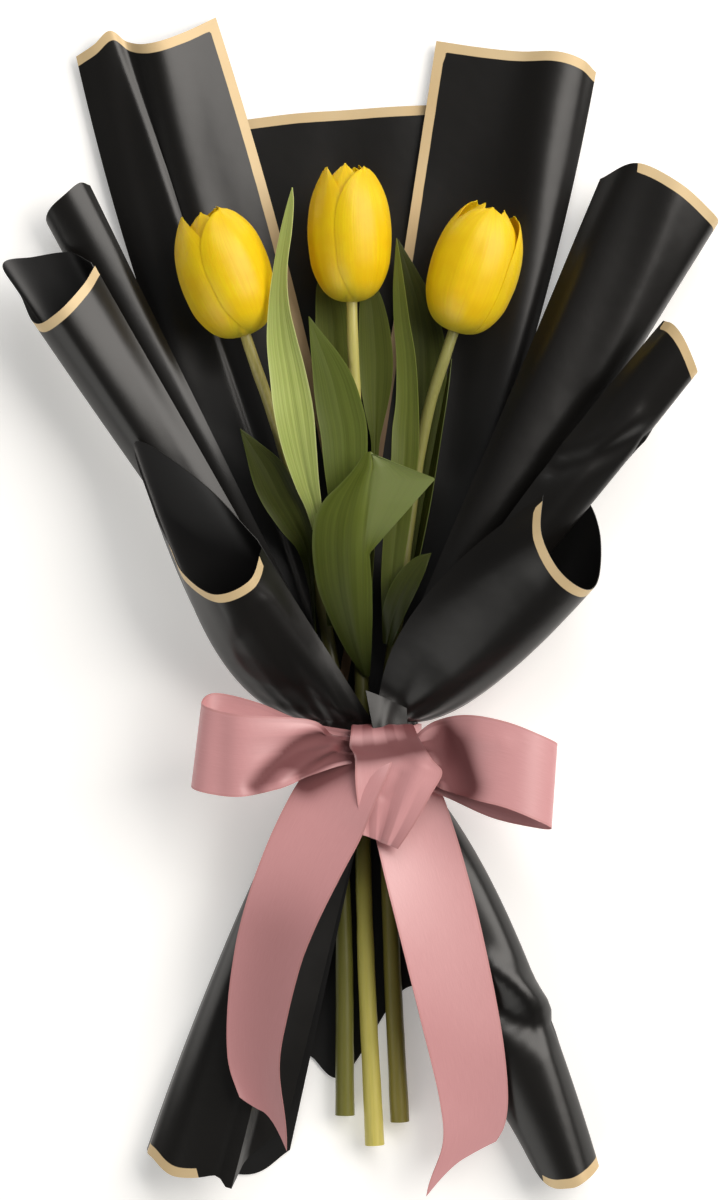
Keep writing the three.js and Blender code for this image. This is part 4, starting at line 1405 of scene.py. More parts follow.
@dataclass
class Blooms:
    """Closed blooms of six tepals, with a receptacle and six stamens."""

    outer: TepalRing = TepalRing(0.7, 72, 0.06, 90)
    inner: TepalRing = TepalRing(2.2, 66, 0.5, 30)
    tepal: float = 0.8
    tepal_edge: float = 0.22
    overlap: float = 0.45
    rows: int = 44
    across: int = 26
    profile: tuple[tuple[float, float], ...] = (
        (0.0, 0.15),
        (0.012, 0.34),
        (0.045, 0.54),
        (0.12, 0.74),
        (0.25, 0.915),
        (0.4, 0.985),
        (0.53, 1.0),
        (0.67, 0.96),
        (0.8, 0.865),
        (0.92, 0.71),
        (1.0, 0.56),
    )

    def tepal_skin(self, tulip: Tulip, ring: TepalRing, which: int, length: float) -> Skin:
        """Build one tepal of a bloom that stands upright at the origin.

        Args:
            tulip: The bloom.
            ring: The ring that the tepal is in.
            which: Its number in the ring, from 0 to 2.
            length: Its length.

        Returns:
            Its closed skin.
        """
        turn = which * 120 + ring.start + tulip.spin
        t = np.linspace(0, 1, self.rows)
        heights, radii = (np.array(k) for k in zip(*self.profile))
        # Even steps along the profile, so that the round foot gets enough rows.
        fine = smooth(
            np.stack([heights * length, radii * (tulip.radius - ring.inset)], axis=1),
            np.linspace(0, 1, 400),
        )
        run = run_along(fine)
        z = np.interp(t * run[-1], run, fine[:, 0])
        r = np.interp(t * run[-1], run, fine[:, 1])
        s = np.linspace(-1, 1, self.across)
        tt, ss = t[:, None], s[None, :]
        foot = 0.72 + 0.28 * step(0, 0.35, tt)
        tip = np.sqrt(np.maximum(1 - np.clip((tt - 0.5) / 0.5, 0, 1) ** 2.7, 0)) * 0.97
        point = 0.05 * bell(tt, 1.0, 0.05)
        wide = ring.half_turn * foot * np.maximum(tip, point)
        angle = np.radians(turn + ss * wide + tulip.twist * (0.6 - tt))
        keel = -0.45 * bell(ss, 0, 0.1) * step(0.05, 0.3, tt) * (1 - 0.6 * step(0.7, 1, tt))
        folds = 0.16 * np.cos(9 * ss + 0.6) * step(0.1, 0.5, tt)
        lap = -self.overlap * ss * step(0.05, 0.4, tt)
        hug = -0.5 * ss**2 * (1 - step(0.6, 1, tt)) + 0.5 * ss**2 * step(0.8, 1, tt)
        bent = 1 - ring.closed * np.clip((tt - 0.74) / 0.26, 0, 1) ** 1.6
        radius = (r[:, None] + keel + folds + lap + hug) * bent
        lift = -0.7 * ss**2 * step(0.7, 1, tt)
        grid = np.stack(
            [radius * np.cos(angle), radius * np.sin(angle), z[:, None] + lift + 0 * ss], axis=-1
        )
        thick = self.tepal_edge + (self.tepal - self.tepal_edge) * (1 - ss**2) * (1 - 0.5 * tt)
        uv = np.stack(np.broadcast_arrays(ss * 0.5 + 0.5 + turn / 97, tt), axis=-1)
        values = {"up": np.broadcast_to(z[:, None] / length, grid.shape[:2])}
        return shell(grid, thick, uv, values)

    def lathe_skin(self, profile: list[tuple[float, float]], sides: int = 24) -> Skin:
        """Turn a small solid about the bloom's axis.

        Args:
            profile: Pairs of radius and height; the first and last lie on the axis.
            sides: How many faces go round it.

        Returns:
            Its closed skin.
        """
        turns = np.linspace(0, 2 * math.pi, sides, endpoint=False)
        rings = [[(r * math.cos(a), r * math.sin(a), z) for a in turns] for r, z in profile[1:-1]]
        points = [
            (0, 0, profile[0][1]), *(p for ring in rings for p in ring), (0, 0, profile[-1][1])
        ]
        faces: list[tuple[int, ...]] = []
        for k in range(sides):
            n = (k + 1) % sides
            faces.append((0, 1 + n, 1 + k))
            for i in range(len(rings) - 1):
                a, b = 1 + i * sides + k, 1 + i * sides + n
                faces.append((a, b, b + sides, a + sides))
            last = 1 + (len(rings) - 1) * sides
            faces.append((last + k, last + n, len(points) - 1))
        count = len(points)
        values = {"up": np.zeros(count), "side": np.ones(count)}
        return Skin(np.array(points), faces, np.zeros((count, 2)), values)

    def stood(self, skin: Skin, tulip: Tulip) -> Skin:
        """Stand an upright skin on its stem."""
        matrix = np.array(tulip.standing())
        skin.points = skin.points @ matrix[:3, :3].T + matrix[:3, 3]
        return skin

    def petals(self, tulip: Tulip, finish: Material) -> Object:
        """Build the six tepals and the receptacle that carries them.

        Args:
            tulip: The bloom.
            finish: The petals' material.

        Returns:
            The piece.
        """
        receptacle = [
            (0, -0.4), (2.5, -0.3), (5.2, 0.7), (6.8, 2.4), (6.2, 4.6), (3.2, 6.2), (0, 6.6)
        ]
        skin = self.lathe_skin(receptacle)
        for k in range(3):
            for ring, length in zip((self.outer, self.inner), tulip.lengths[k::3]):
                skin = skin.joined(self.tepal_skin(tulip, ring, k, length))
        piece = make_piece(f"tulip_{tulip.name}_petals", self.stood(skin, tulip), finish)
        return settle(piece, "petal", f"bloom_{tulip.name}")

    def stamen_tree(self) -> NodeTree:
        """Build the tree that sets stamens in a ring."""
        tree, given = new_tree(
            "stamen_ring",
            {
                "Count": ("NodeSocketInt", 6), "Ring radius": ("NodeSocketFloat", 4.0),
                "Stamen length": ("NodeSocketFloat", 20.0), "Seed": ("NodeSocketInt", 4),
                "Finish": ("NodeSocketMaterial", None),
            },
        )
        ring = node(
            tree, "GeometryNodeMeshCircle",
            {"Vertices": given.outputs["Count"], "Radius": given.outputs["Ring radius"]},
        )
        half = node(tree, "Math", {0: given.outputs["Stamen length"], 1: 0.5}, operation="MULTIPLY")
        middle = node(tree, "CombineXYZ", {"Z": half})
        stalk = node(
            tree, "GeometryNodeMeshCone",
            {
                "Vertices": 8, "Radius Top": 0.45, "Radius Bottom": 0.9,
                "Depth": given.outputs["Stamen length"],
            },
        )
        top = node(tree, "Math", {0: given.outputs["Stamen length"], 1: 0.8}, operation="MULTIPLY")
        top_place = node(tree, "CombineXYZ", {"Z": top})
        anther = node(tree, "GeometryNodeMeshUVSphere", {"Segments": 10, "Rings": 8, "Radius": 1.3})
        long_anther = node(
            tree, "GeometryNodeTransform",
            {"Geometry": anther, "Translation": top_place, "Scale": (1.0, 0.8, 3.6)},
        )
        both = node(tree, "GeometryNodeJoinGeometry")
        for part in (stalk, long_anther):
            tree.links.new(part.outputs[0], both.inputs[0])
        size = node(
            tree, "FunctionNodeRandomValue", {2: 0.9, 3: 1.08, "Seed": given.outputs["Seed"]},
            data_type="FLOAT",
        )
        stood = node(
            tree, "GeometryNodeInstanceOnPoints", {"Points": ring, "Instance": both, "Scale": size},
        )
        finish_tree(tree, stood, given.outputs["Finish"])
        return tree

    def stamens(self, tulip: Tulip, tree: NodeTree, finish: Material) -> Object:
        """Grow the stamens inside one bloom.

        Args:
            tulip: The bloom.
            tree: The tree that sets them in a ring.
            finish: Their material.

        Returns:
            The piece.
        """
        sizes = {
            "Count": 6,
            "Ring radius": 4.2,
            "Stamen length": 20.0,
            "Seed": len(tulip.name),
            "Finish": finish,
        }
        mesh = grown(f"tulip_{tulip.name}_stamens", bpy.data.meshes.new("stamen_seat"), tree, sizes)
        lift = Matrix.Translation((0, 0, 4))
        mesh.transform(tulip.standing() @ lift)
        mesh.transform(Matrix.Translation(Vector(TIE)) @ Matrix.Scale(MM, 4))
        return settle(place_mesh(f"tulip_{tulip.name}_stamens", mesh), "petal")

    def build(self, finishes: Finishes) -> None:
        """Build every bloom."""
        tree = self.stamen_tree()
        for tulip in TULIPS:
            self.petals(tulip, finishes.petal)
            self.stamens(tulip, tree, finishes.pollen)


@dataclass
class Stems:
    """The three stems and the string that holds them inside the paper.

    The sizes are in mm; the unevenness is how far the surface moves in the frame, in metres.
    """

    cut_radius: float = 4.3
    top_radius: float = 2.4
    neck: float = 12.0
    sides: int = 28
    unevenness: float = 0.0007
    string_radius: float = 0.45
    string_unevenness: float = 0.0002
    string_turns: float = 5.0
    string_loop: tuple[float, float] = (14.9, 7.2)
    string_reach: float = 3.6

    def sweep_tree(self) -> NodeTree:
        """Build the tree that sweeps a round, slightly uneven stem along a curve."""
        tree, given = new_tree(
            "stem_sweep",
            {
                "Cut radius": ("NodeSocketFloat", 0.0039),
                "Top radius": ("NodeSocketFloat", 0.0024), "Sides": ("NodeSocketInt", 28),
                "Unevenness": ("NodeSocketFloat", 0.0002), "Seed": ("NodeSocketFloat", 1.0),
                "Finish": ("NodeSocketMaterial", None),
            },
        )
        factor = node(tree, "GeometryNodeSplineParameter").outputs["Factor"]
        bent = node(tree, "Math", {0: factor, 1: 0.8}, operation="POWER")
        width = node(
            tree, "MapRange",
            {
                "Value": bent, "To Min": given.outputs["Cut radius"],
                "To Max": given.outputs["Top radius"],
            },
        )
        marked = node(
            tree, "GeometryNodeStoreNamedAttribute",
            {"Geometry": given.outputs["Geometry"], "Name": "along", "Value": factor},
            data_type="FLOAT", domain="POINT",
        )
        profile = node(
            tree, "GeometryNodeCurvePrimitiveCircle",
            {"Resolution": given.outputs["Sides"], "Radius": 1.0},
        )
        swept = node(
            tree, "GeometryNodeCurveToMesh",
            {"Curve": marked, "Profile Curve": profile, "Scale": width, "Fill Caps": True},
        )
        bumps = node(
            tree, "TexNoise", {"W": given.outputs["Seed"], "Scale": 60.0, "Detail": 1.0},
            noise_dimensions="4D",
        )
        signed = node(tree, "Math", {0: bumps, 1: 0.5}, operation="SUBTRACT")
        amount = node(
            tree, "Math", {0: signed, 1: given.outputs["Unevenness"]}, operation="MULTIPLY",
        )
        normal = node(tree, "GeometryNodeInputNormal")
        push = node(tree, "VectorMath", {0: normal, "Scale": amount}, operation="SCALE")
        uneven = node(tree, "GeometryNodeSetPosition", {"Geometry": swept, "Offset": push})
        finish_tree(tree, uneven, given.outputs["Finish"])
        return tree

    def curve(self, name: str, points: np.ndarray) -> Curve:
        """Make a curve from points.

        Args:
            name: Its name.
            points: Its points, in mm about the tie.

        Returns:
            The curve, in the frame.
        """
        curve = bpy.data.curves.new(name, "CURVE")
        curve.dimensions = "3D"
        spline = curve.splines.new("POLY")
        spline.points.add(len(points) - 1)
        placed = np.hstack([points * MM + TIE, np.ones((len(points), 1))])
        spline.points.foreach_set("co", placed.astype(np.float32).ravel())
        return curve

    def stem(self, tulip: Tulip, tree: NodeTree, skin: Material, cut: Material) -> None:
        """Sweep one stem and give its cut end its own finish.

        Args:
            tulip: The tulip that it carries.
            tree: The tree that sweeps it.
            skin: The material of its skin.
            cut: The material of its cut end.
        """
        foot = np.array(tulip.foot, float)
        neck = foot - tulip.direction() * self.neck
        route = [tulip.cut_end, *(sunk(*place) for place in tulip.route)]
        points = path_points([*route, tuple(neck), tuple(foot)], 120)
        sizes = {
            "Cut radius": self.cut_radius * MM,
            "Top radius": self.top_radius * MM,
            "Sides": self.sides,
            "Unevenness": self.unevenness,
            "Seed": float(len(tulip.name)),
            "Finish": skin,
        }
        mesh = grown(f"tulip_{tulip.name}_stem", self.curve("stem_line", points), tree, sizes)
        mesh.materials.append(cut)
        for face in mesh.polygons:
            if len(face.vertices) > 4:
                face.material_index = 1
        piece = place_mesh(f"tulip_{tulip.name}_stem", mesh)
        settle(piece, "stem", f"stem_{tulip.name}")

    def string(self, tree: NodeTree, finish: Material) -> None:
        """Wind the string round the stems inside the paper.

        Args:
            tree: The tree that sweeps it.
            finish: Its material.
        """
        t = np.linspace(0, 1, 260)
        turn = 2 * math.pi * self.string_turns * t
        half_width, half_depth = self.string_loop
        x, z = half_width * np.cos(turn), WAIST_HEIGHT + half_depth * np.sin(turn)
        points = np.stack([x, BAND_MIDDLE_Y + self.string_reach * (2 * t - 1), z], axis=1)
        sizes = {
            "Cut radius": self.string_radius * MM,
            "Top radius": self.string_radius * MM,
            "Sides": 10,
            "Unevenness": self.string_unevenness,
            "Seed": 2.0,
            "Finish": finish,
        }
        mesh = grown("stem_string", self.curve("string_line", points), tree, sizes)
        settle(place_mesh("stem_string", mesh), "string", "stem_tie")

    def build(self, finishes: Finishes) -> None:
        """Build the stems and their string."""
        tree = self.sweep_tree()
        skins = {
            "left": finishes.stem_green, "middle": finishes.stem_light, "right": finishes.stem_brown
        }
        for tulip in TULIPS:
            self.stem(tulip, tree, skins[tulip.name], finishes.cut_end)
        self.string(tree, finishes.jute)


# ---- Leaves ----


class LeafTone(Enum):
    """How light or dark a leaf's green is; the dark tone of the low and back leaves is partly
    painted shade.
    """

    LIGHT = "leaf_light"
    MID = "leaf_mid"
    DEEP = "leaf_deep"
    DARK = "leaf_dark"


@dataclass(frozen=True)
class Leaf:
    """One leaf along its rib, from its clasping foot to its tip.

    Args:
        node: The CAD node that it stands for.
        ribs: Places along its midrib, each with half of the blade's width there and, where it
            is turned about the rib, by how many degrees. The tie's sag isn't in them.
        tone: Its finish.
        channel: How deep it is folded along the rib, as a share of its half-width.
        wave: How far its edges ripple, in mm.
        narrowest: Half of its width at the tip, in mm.
    """

    node: str
    ribs: tuple[tuple[float, ...], ...]
    tone: LeafTone
    channel: float = 0.2
    wave: float = 0.6
    narrowest: float = 0.12

    def surface(self, count: int, columns: int) -> np.ndarray:
        """Return the blade's middle surface, as a grid of count rows of points."""
        t = np.linspace(0, 1, count)[:, None]
        s = np.linspace(-1, 1, columns)[None, :]
        rows = table(self.ribs, 5)
        rows[:, :3] = [sunk(*place) for place in rows[:, :3]]
        ribs = smooth(rows, t[:, 0])
        centre = ribs[:, :3]
        half = np.maximum(ribs[:, 3:4], self.narrowest)
        turn = np.radians(ribs[:, 4:5])
        ahead = unit(np.gradient(centre, axis=0))
        side = unit(np.cross(ahead, (0, 0, 1)))
        normal = np.cross(side, ahead)
        lift = self.channel * half * s**2 * (1 - 0.5 * t)
        lift = lift + self.wave * s**2 * np.sin(9 * t + 2 * s) * half / half.max()
        lift = lift - 0.4 * bell(s, 0, 0.14) * (1 - t)
        out = s * half
        along_side = (out * np.cos(turn) - lift * np.sin(turn))[..., None] * side[:, None, :]
        along_normal = (out * np.sin(turn) + lift * np.cos(turn))[..., None] * normal[:, None, :]
        return centre[:, None, :] + along_side + along_normal


@dataclass
class Leaves:
    """All leaves of the bunch."""

    rows: int = 80
    columns: int = 19
    foot_thickness: float = 0.9
    edge_thickness: float = 0.3

    def skin(self, grid: np.ndarray, back: np.ndarray | float = 0.0) -> Skin:
        """Give a blade its thickness, thin at its edges and tip.

        Args:
            grid: The blade's middle surface.
            back: 1 where the blade is turned over and shows its paler back.

        Returns:
            Its closed skin.
        """
        t = np.linspace(0, 1, grid.shape[0])[:, None]
        s = np.linspace(-1, 1, grid.shape[1])[None, :]
        spare = self.foot_thickness - self.edge_thickness
        thick = self.edge_thickness + spare * (1 - s**2) * (1 - 0.6 * t)
        uv = np.stack(np.broadcast_arrays(s * 0.5 + 0.5, t), axis=-1)
        shape = grid.shape[:2]
        values = {
            "up": np.broadcast_to(t, shape),
            "edge": np.broadcast_to(np.abs(s), shape),
            "back": np.broadcast_to(back, shape),
        }
        return shell(grid, thick, uv, values)

    def folded(self) -> tuple[np.ndarray, np.ndarray]:
        """Build the front leaf, which is bent open along its rib with its tip to the right.

        Returns:
            The grid of its middle surface, and how far each point is turned over.
        """
        edges = np.array([[sunk(*place) for place in row] for row in FOLDED_LEAF])
        t = np.linspace(0, 1, self.rows)
        s = np.linspace(-1, 1, self.columns + 12)[None, :]
        left, rib = (smooth(edges[:, k], t)[:, None, :] for k in range(2))
        places = np.linspace(0, 1, len(edges))
        right = np.stack(
            [np.interp(t, places, edges[:, 2, k]) for k in range(3)], axis=-1
        )[:, None, :]
        a = np.abs(s)[..., None]
        grid = rib * (1 - a) + np.where(s[..., None] < 0, left, right) * a
        opened = step(0.45, 0.56, t)[:, None]
        ridge = 1.5 * bell(s, -0.25, 0.2) * np.sin(np.pi * t)[:, None]
        crease = -0.9 * bell(s, 0.02, 0.06) * opened
        belly = 0.9 * np.sin(np.pi * np.clip(-s, 0, 1)) * np.sin(np.pi * t)[:, None]
        sagging = -0.7 * np.sin(np.pi * np.clip(s, 0, 1)) * opened
        grid = grid + grid_normals(grid) * (ridge + crease + belly + sagging)[..., None]
        turned = step(0.0, 0.06, s) * opened
        return grid, 0.85 * turned

    def build(self, finishes: Finishes) -> None:
        """Build every leaf."""
        for leaf in LEAVES:
            skin = self.skin(leaf.surface(self.rows, self.columns))
            piece = make_piece(leaf.node + "_blade", skin, getattr(finishes, leaf.tone.value), 70)
            settle(piece, "leaf", leaf.node)
        grid, turned = self.folded()
        piece = make_piece(
            "leaf_front_folded_blade", self.skin(grid, turned), finishes.leaf_front, 40
        )
        settle(piece, "leaf", "leaf_front_folded")


LEAVES = (
    Leaf(
        "leaf_front_tall",
        (
            (-13.5, 50, 24, 2.2, 50), (-16.2, 78, 29.5, 2.4, 40), (-20.4, 100, 34, 3.6, 25),
            (-24, 113, 37.5, 5.4, 12), (-27.2, 128, 41, 7.4, 6), (-29.9, 144, 44.5, 8.6),
            (-32.4, 160.6, 46.3, 7.9, 4), (-34.9, 176, 47.5, 6.7, 12), (-36.1, 191.8, 48, 4.8, 22),
            (-35.4, 207.4, 47.5, 3.5, 28), (-33, 223, 46.5, 2.9, 30), (-31.2, 235, 46, 1.6, 30),
            (-30.5, 242, 45.8, 0.15, 30),
        ),
        LeafTone.LIGHT, channel=0.24, wave=0.5,
    ),
    Leaf(
        "leaf_left_low",
        (
            (-20.4, 46, 18.6, 2, 80), (-22.1, 66, 22.4, 2.2, 60), (-24.5, 83.8, 26.5, 3.9, 25),
            (-29.6, 95.7, 28.5, 7, 12), (-36.6, 108.3, 30.5, 8.4, 5), (-41.8, 118.6, 32, 7.6),
            (-48, 128.5, 33.6, 3.8), (-53.5, 136.9, 34.5, 0.15),
        ),
        LeafTone.DARK, channel=0.15,
    ),
    Leaf(
        "leaf_middle_left",
        (
            (-4.5, 48, 22, 3, 80), (-5.5, 75, 26.5, 4.5, 30), (-6.2, 100, 30, 7.5, 8),
            (-7.2, 120, 32, 9.4), (-8, 135.5, 33, 10.3), (-9.9, 145.6, 33.5, 10.2),
            (-12.7, 157.5, 33.5, 8.9), (-15.8, 166.8, 33, 6.6), (-19.4, 176, 32, 3.6),
            (-23.4, 186.4, 31, 0.15),
        ),
        LeafTone.DEEP, channel=0.15, wave=0.4,
    ),
    Leaf(
        "leaf_middle_back",
        (
            (-10, 110, 19, 3), (-11, 135, 19.3, 6), (-11.5, 155, 19.5, 8), (-12, 172, 19.8, 8.5),
            (-13, 188, 20, 7.6), (-15, 200, 20.5, 5.2), (-17, 212, 20.8, 0.15),
        ),
        LeafTone.MID, channel=0.1, wave=0.3,
    ),
    Leaf(
        "leaf_middle_right",
        (
            (2.5, 56, 19.5, 1.6, 45), (4.2, 85, 18.6, 1.6, 20), (5.4, 112, 19, 1.6),
            (5.9, 130, 19.3, 1.8), (6, 139, 19.4, 3.4), (6.1, 148, 19.5, 5.4), (6.2, 158, 19.6, 7),
            (6.2, 168, 19.8, 7.5), (5.6, 178, 20, 7.1), (4.8, 187, 20, 6.2), (3.6, 197, 19, 4.2),
            (2.5, 206, 17.5, 0.15),
        ),
        LeafTone.MID, channel=0.12, wave=0.3,
    ),
    Leaf(
        "leaf_right_tall",
        (
            (11.9, 42, 22.2, 2.5, 30), (13, 70, 28, 4.5, 10), (15.5, 95, 31.5, 5.6),
            (17.5, 112, 33, 5.9), (18.7, 123.2, 33.5, 5.9), (19.3, 136, 33.8, 5.9, 5),
            (20, 149.6, 34.2, 5, 10), (19.5, 168, 34.5, 4.4, 15), (17.6, 184, 34.8, 3.7, 20),
            (16.3, 199.5, 35, 2.7, 22), (15.6, 213, 35, 1.1, 20), (15.2, 220.5, 35, 0.15, 20),
        ),
        LeafTone.MID, channel=0.25, wave=0.4,
    ),
    Leaf(
        "leaf_right_back",
        (
            (16.8, 62, 15.3, 2.5), (21, 92, 15.4, 5), (26, 128, 16, 8), (28, 150, 16.8, 9),
            (28, 172, 17.5, 9), (25.5, 190, 18, 7), (21.5, 204, 18, 4.2), (17.5, 216, 18, 1.4),
            (15.8, 221, 18, 0.15),
        ),
        LeafTone.DARK, channel=0.1,
    ),
    Leaf(
        "leaf_right_edge",
        (
            (20.3, 60, 19.4, 1.8, 70), (26, 88, 21, 3.5, 70), (31.5, 118, 23, 4.5, 72),
            (36.5, 148, 25, 3.5, 74), (39.5, 168, 26, 0.2, 75),
        ),
        LeafTone.DARK, channel=0.1, wave=0.2,
    ),
    Leaf(
        "leaf_right_low",
        (
            (11.2, 42, 23.6, 2.5, 30), (14, 56, 29, 5, 10), (19, 68, 33, 5.6), (25, 77, 34.5, 3.8),
            (30.4, 82.3, 35, 0.15),
        ),
        LeafTone.DARK, channel=0.1,
    ),
)

# Rows up the folded leaf: its left edge, its rib and its right edge, without the sag.
FOLDED_LEAF = (
    ((0.5, 28, 25.9), (2, 28, 26.1), (3.5, 28, 25.7)),
    ((-7.5, 40, 30), (1, 40, 30.4), (4.2, 40, 29.6)),
    ((-14.5, 54, 34), (0.8, 54, 35), (4.6, 54, 33.6)),
    ((-19.7, 68, 36.4), (0.8, 68, 39), (4.4, 68, 37)),
    ((-21.8, 84, 37.6), (0.9, 82, 42.4), (3.2, 82, 41.6)),
    ((-20.8, 97, 38.6), (1.5, 94, 44.6), (12.9, 92.9, 44.4)),
    ((-16.5, 105.5, 40), (2.6, 105, 46), (22.6, 103.9, 44.6)),
    ((-10, 112, 42), (3.6, 114, 46.6), (32.3, 114.8, 43.6)),
    ((-4, 118.5, 44), (4.6, 120.5, 46.8), (18.9, 120, 45.8)),
    ((1.2, 126, 46), (3.6, 126.5, 47), (5.6, 125.2, 46.8)),
)


# ---- Ribbon ----


@dataclass(frozen=True)
class RibbonPiece:
    """One length of the ribbon.

    Args:
        node: The CAD node that it stands for.
        stations: Places on its middle line, each with half of the width that the ribbon takes
            up there, which way its width runs, in degrees from X, and, where it leans off
            the level, by how many degrees.
        flat_length: How long the piece is when it is flat, in mm; not used.
        held: How it is held; not used.
        crown: How far its middle stands above its edges, in mm.
        gathers: How many folds take up the width where it is gathered.
        gather_depth: How deep they are, in mm.
        slant: How far the first and the last corner of its cut end run on, in mm.
        creases: What its gathering presses into it; its furrows also take painted shade.
        hollows: Where it lies deep between other folds; these only paint shade on it, without
            changing its shape.
    """

    node: str
    stations: tuple[tuple[float, ...], ...]
    flat_length: float
    held: str
    crown: float = 0.0
    gathers: float = 2.5
    gather_depth: float = 0.9
    slant: tuple[float, float] = (0.0, 0.0)
    creases: tuple[Crease, ...] = ()
    hollows: tuple[Crease, ...] = ()


@dataclass
class SatinBow:
    """The band round the waist, two loops, a knot and two tails."""

    width: float = 37.0
    thickness: float = 0.35
    rows: int = 110
    columns: int = 33
    band_half_width: float = 26.1
    band_front: float = 18.1
    band_back: float = 12.9
    band_flat_back: float = 11.95
    band_half_length: float = 9.8
    band_pull: float = 3.4
    band_flat: tuple[float, float] = (20.0, 140.0)

    def surface(self, piece: RibbonPiece) -> tuple[np.ndarray, np.ndarray, np.ndarray]:
        """Return a ribbon's middle surface.

        Args:
            piece: The length of ribbon.

        Returns:
            The grid of points, each one's place on the flat ribbon, and how much painted shade
            each takes for lying deep in a fold.
        """
        t = np.linspace(0, 1, self.rows)
        s = np.linspace(-1, 1, self.columns)[None, :]
        line = smooth(table(piece.stations, 6), t)
        centre, half = line[:, :3], line[:, 3]
        turn, tilt = np.radians(line[:, 4:]).T
        across = np.stack(
            [np.cos(turn) * np.cos(tilt), np.sin(turn) * np.cos(tilt), np.sin(tilt)], axis=1
        )
        grid = centre[:, None, :] + across[:, None, :] * (s * half[:, None])[..., None]
        ahead = unit(np.gradient(centre, axis=0))
        first, last = piece.slant
        corner = first * np.clip(-s, 0, 1) ** 2 + last * np.clip(s, 0, 1) ** 2
        reach = corner * step(0.8, 1.0, t)[:, None]
        grid = grid + ahead[:, None, :] * reach[..., None]
        gathered = 1 - np.clip(half / (self.width / 2), 0, 1)[:, None] ** 2
        folds = piece.gather_depth * gathered * np.cos(np.pi * piece.gathers * (s + 0.15))
        crown = -piece.crown * s**2 * step(0.1, 0.4, t)[:, None]
        grid, depth = pressed(grid + grid_normals(grid) * (folds + crown)[..., None], piece.creases)
        # Painted shade: furrows, hollows and the troughs of the gathers set how dark the satin is
        # painted.
        hollow = pressed(grid, piece.hollows)[1]
        fold_shade = np.clip((depth + hollow) / 3 + 0.5 * gathered * (folds < 0), 0, 1)
        uv = np.stack(np.broadcast_arrays(s * self.width / 2, run_along(centre)[:, None]), axis=-1)
        return grid, uv, fold_shade

    def make_length(self, length: RibbonPiece, finish: Material) -> None:
        """Build one length of ribbon in place of its CAD node.

        Args:
            length: The length of ribbon.
            finish: The satin.
        """
        grid, uv, fold_shade = self.surface(length)
        piece = make_piece(
            length.node + "_satin", shell(grid, self.thickness, uv, {"fold_shade": fold_shade}), finish, 60
        )
        settle(piece, "satin", length.node)

    def band(self, finish: Material) -> None:
        """Build the band: the ribbon folded lengthwise and wound round the waist."""
        turns = np.linspace(0, 2 * math.pi, 161)
        s = np.linspace(-1, 1, 21)
        cos, sin = np.cos(turns)[None, :], np.sin(turns)[None, :]
        depth = np.where(sin > 0, self.band_front, self.band_back)
        pinch = 0.35 * np.cos(3 * np.pi * s)[:, None] * step(-0.2, 0.5, sin)
        x = (self.band_half_width + pinch) * cos
        z = WAIST_HEIGHT + np.maximum((depth + pinch) * sin, -self.band_flat_back)
        reach = self.band_half_length - self.band_pull * step(0.3, 0.95, sin)
        y = BAND_MIDDLE_Y + reach * s[:, None]
        grid = np.stack(np.broadcast_arrays(x, y, z), axis=-1)
        uv = np.stack(
            np.broadcast_arrays(s[:, None] * self.width / 2, turns[None, :] * 22), axis=-1
        )
        skin = ring_shell(grid[:, :-1], self.thickness * 2, uv[:, :-1])
        piece = make_piece("ribbon_band_satin", skin, finish, 60)
        settle(piece, "satin", "ribbon_band")

    def build(self, finish: Material) -> None:
        """Build the whole bow."""
        self.band(finish)
        for length in BOW:
            self.make_length(length, finish)


def ring_shell(grid: np.ndarray, thickness: float, uv: np.ndarray) -> Skin:
    """Give a surface that closes on itself across its columns its thickness.

    Args:
        grid: Rows and columns of points; the last column joins the first.
        thickness: The wall.
        uv: A pair for each point.

    Returns:
        The closed skin.
    """
    rows, columns = grid.shape[:2]
    wrapped = np.concatenate([grid[:, -1:], grid, grid[:, :1]], axis=1)
    out = grid_normals(wrapped)[:, 1:-1] * thickness / 2
    points = np.concatenate([(grid + out).reshape(-1, 3), (grid - out).reshape(-1, 3)])
    count = rows * columns
    index = np.arange(count).reshape(rows, columns)
    following = np.roll(index, -1, axis=1)
    outer = np.stack([index[:-1], following[:-1], following[1:], index[1:]], axis=-1).reshape(-1, 4)
    first, last = (np.stack([following[k], index[k]], axis=-1) for k in (0, -1))
    rims = [np.hstack([first, first[:, ::-1] + count]), np.hstack([last[:, ::-1], last + count])]
    faces = [tuple(face) for face in np.vstack([outer, outer[:, ::-1] + count, *rims]).tolist()]
    return Skin(points, faces, np.tile(uv.reshape(-1, 2), (2, 1)))


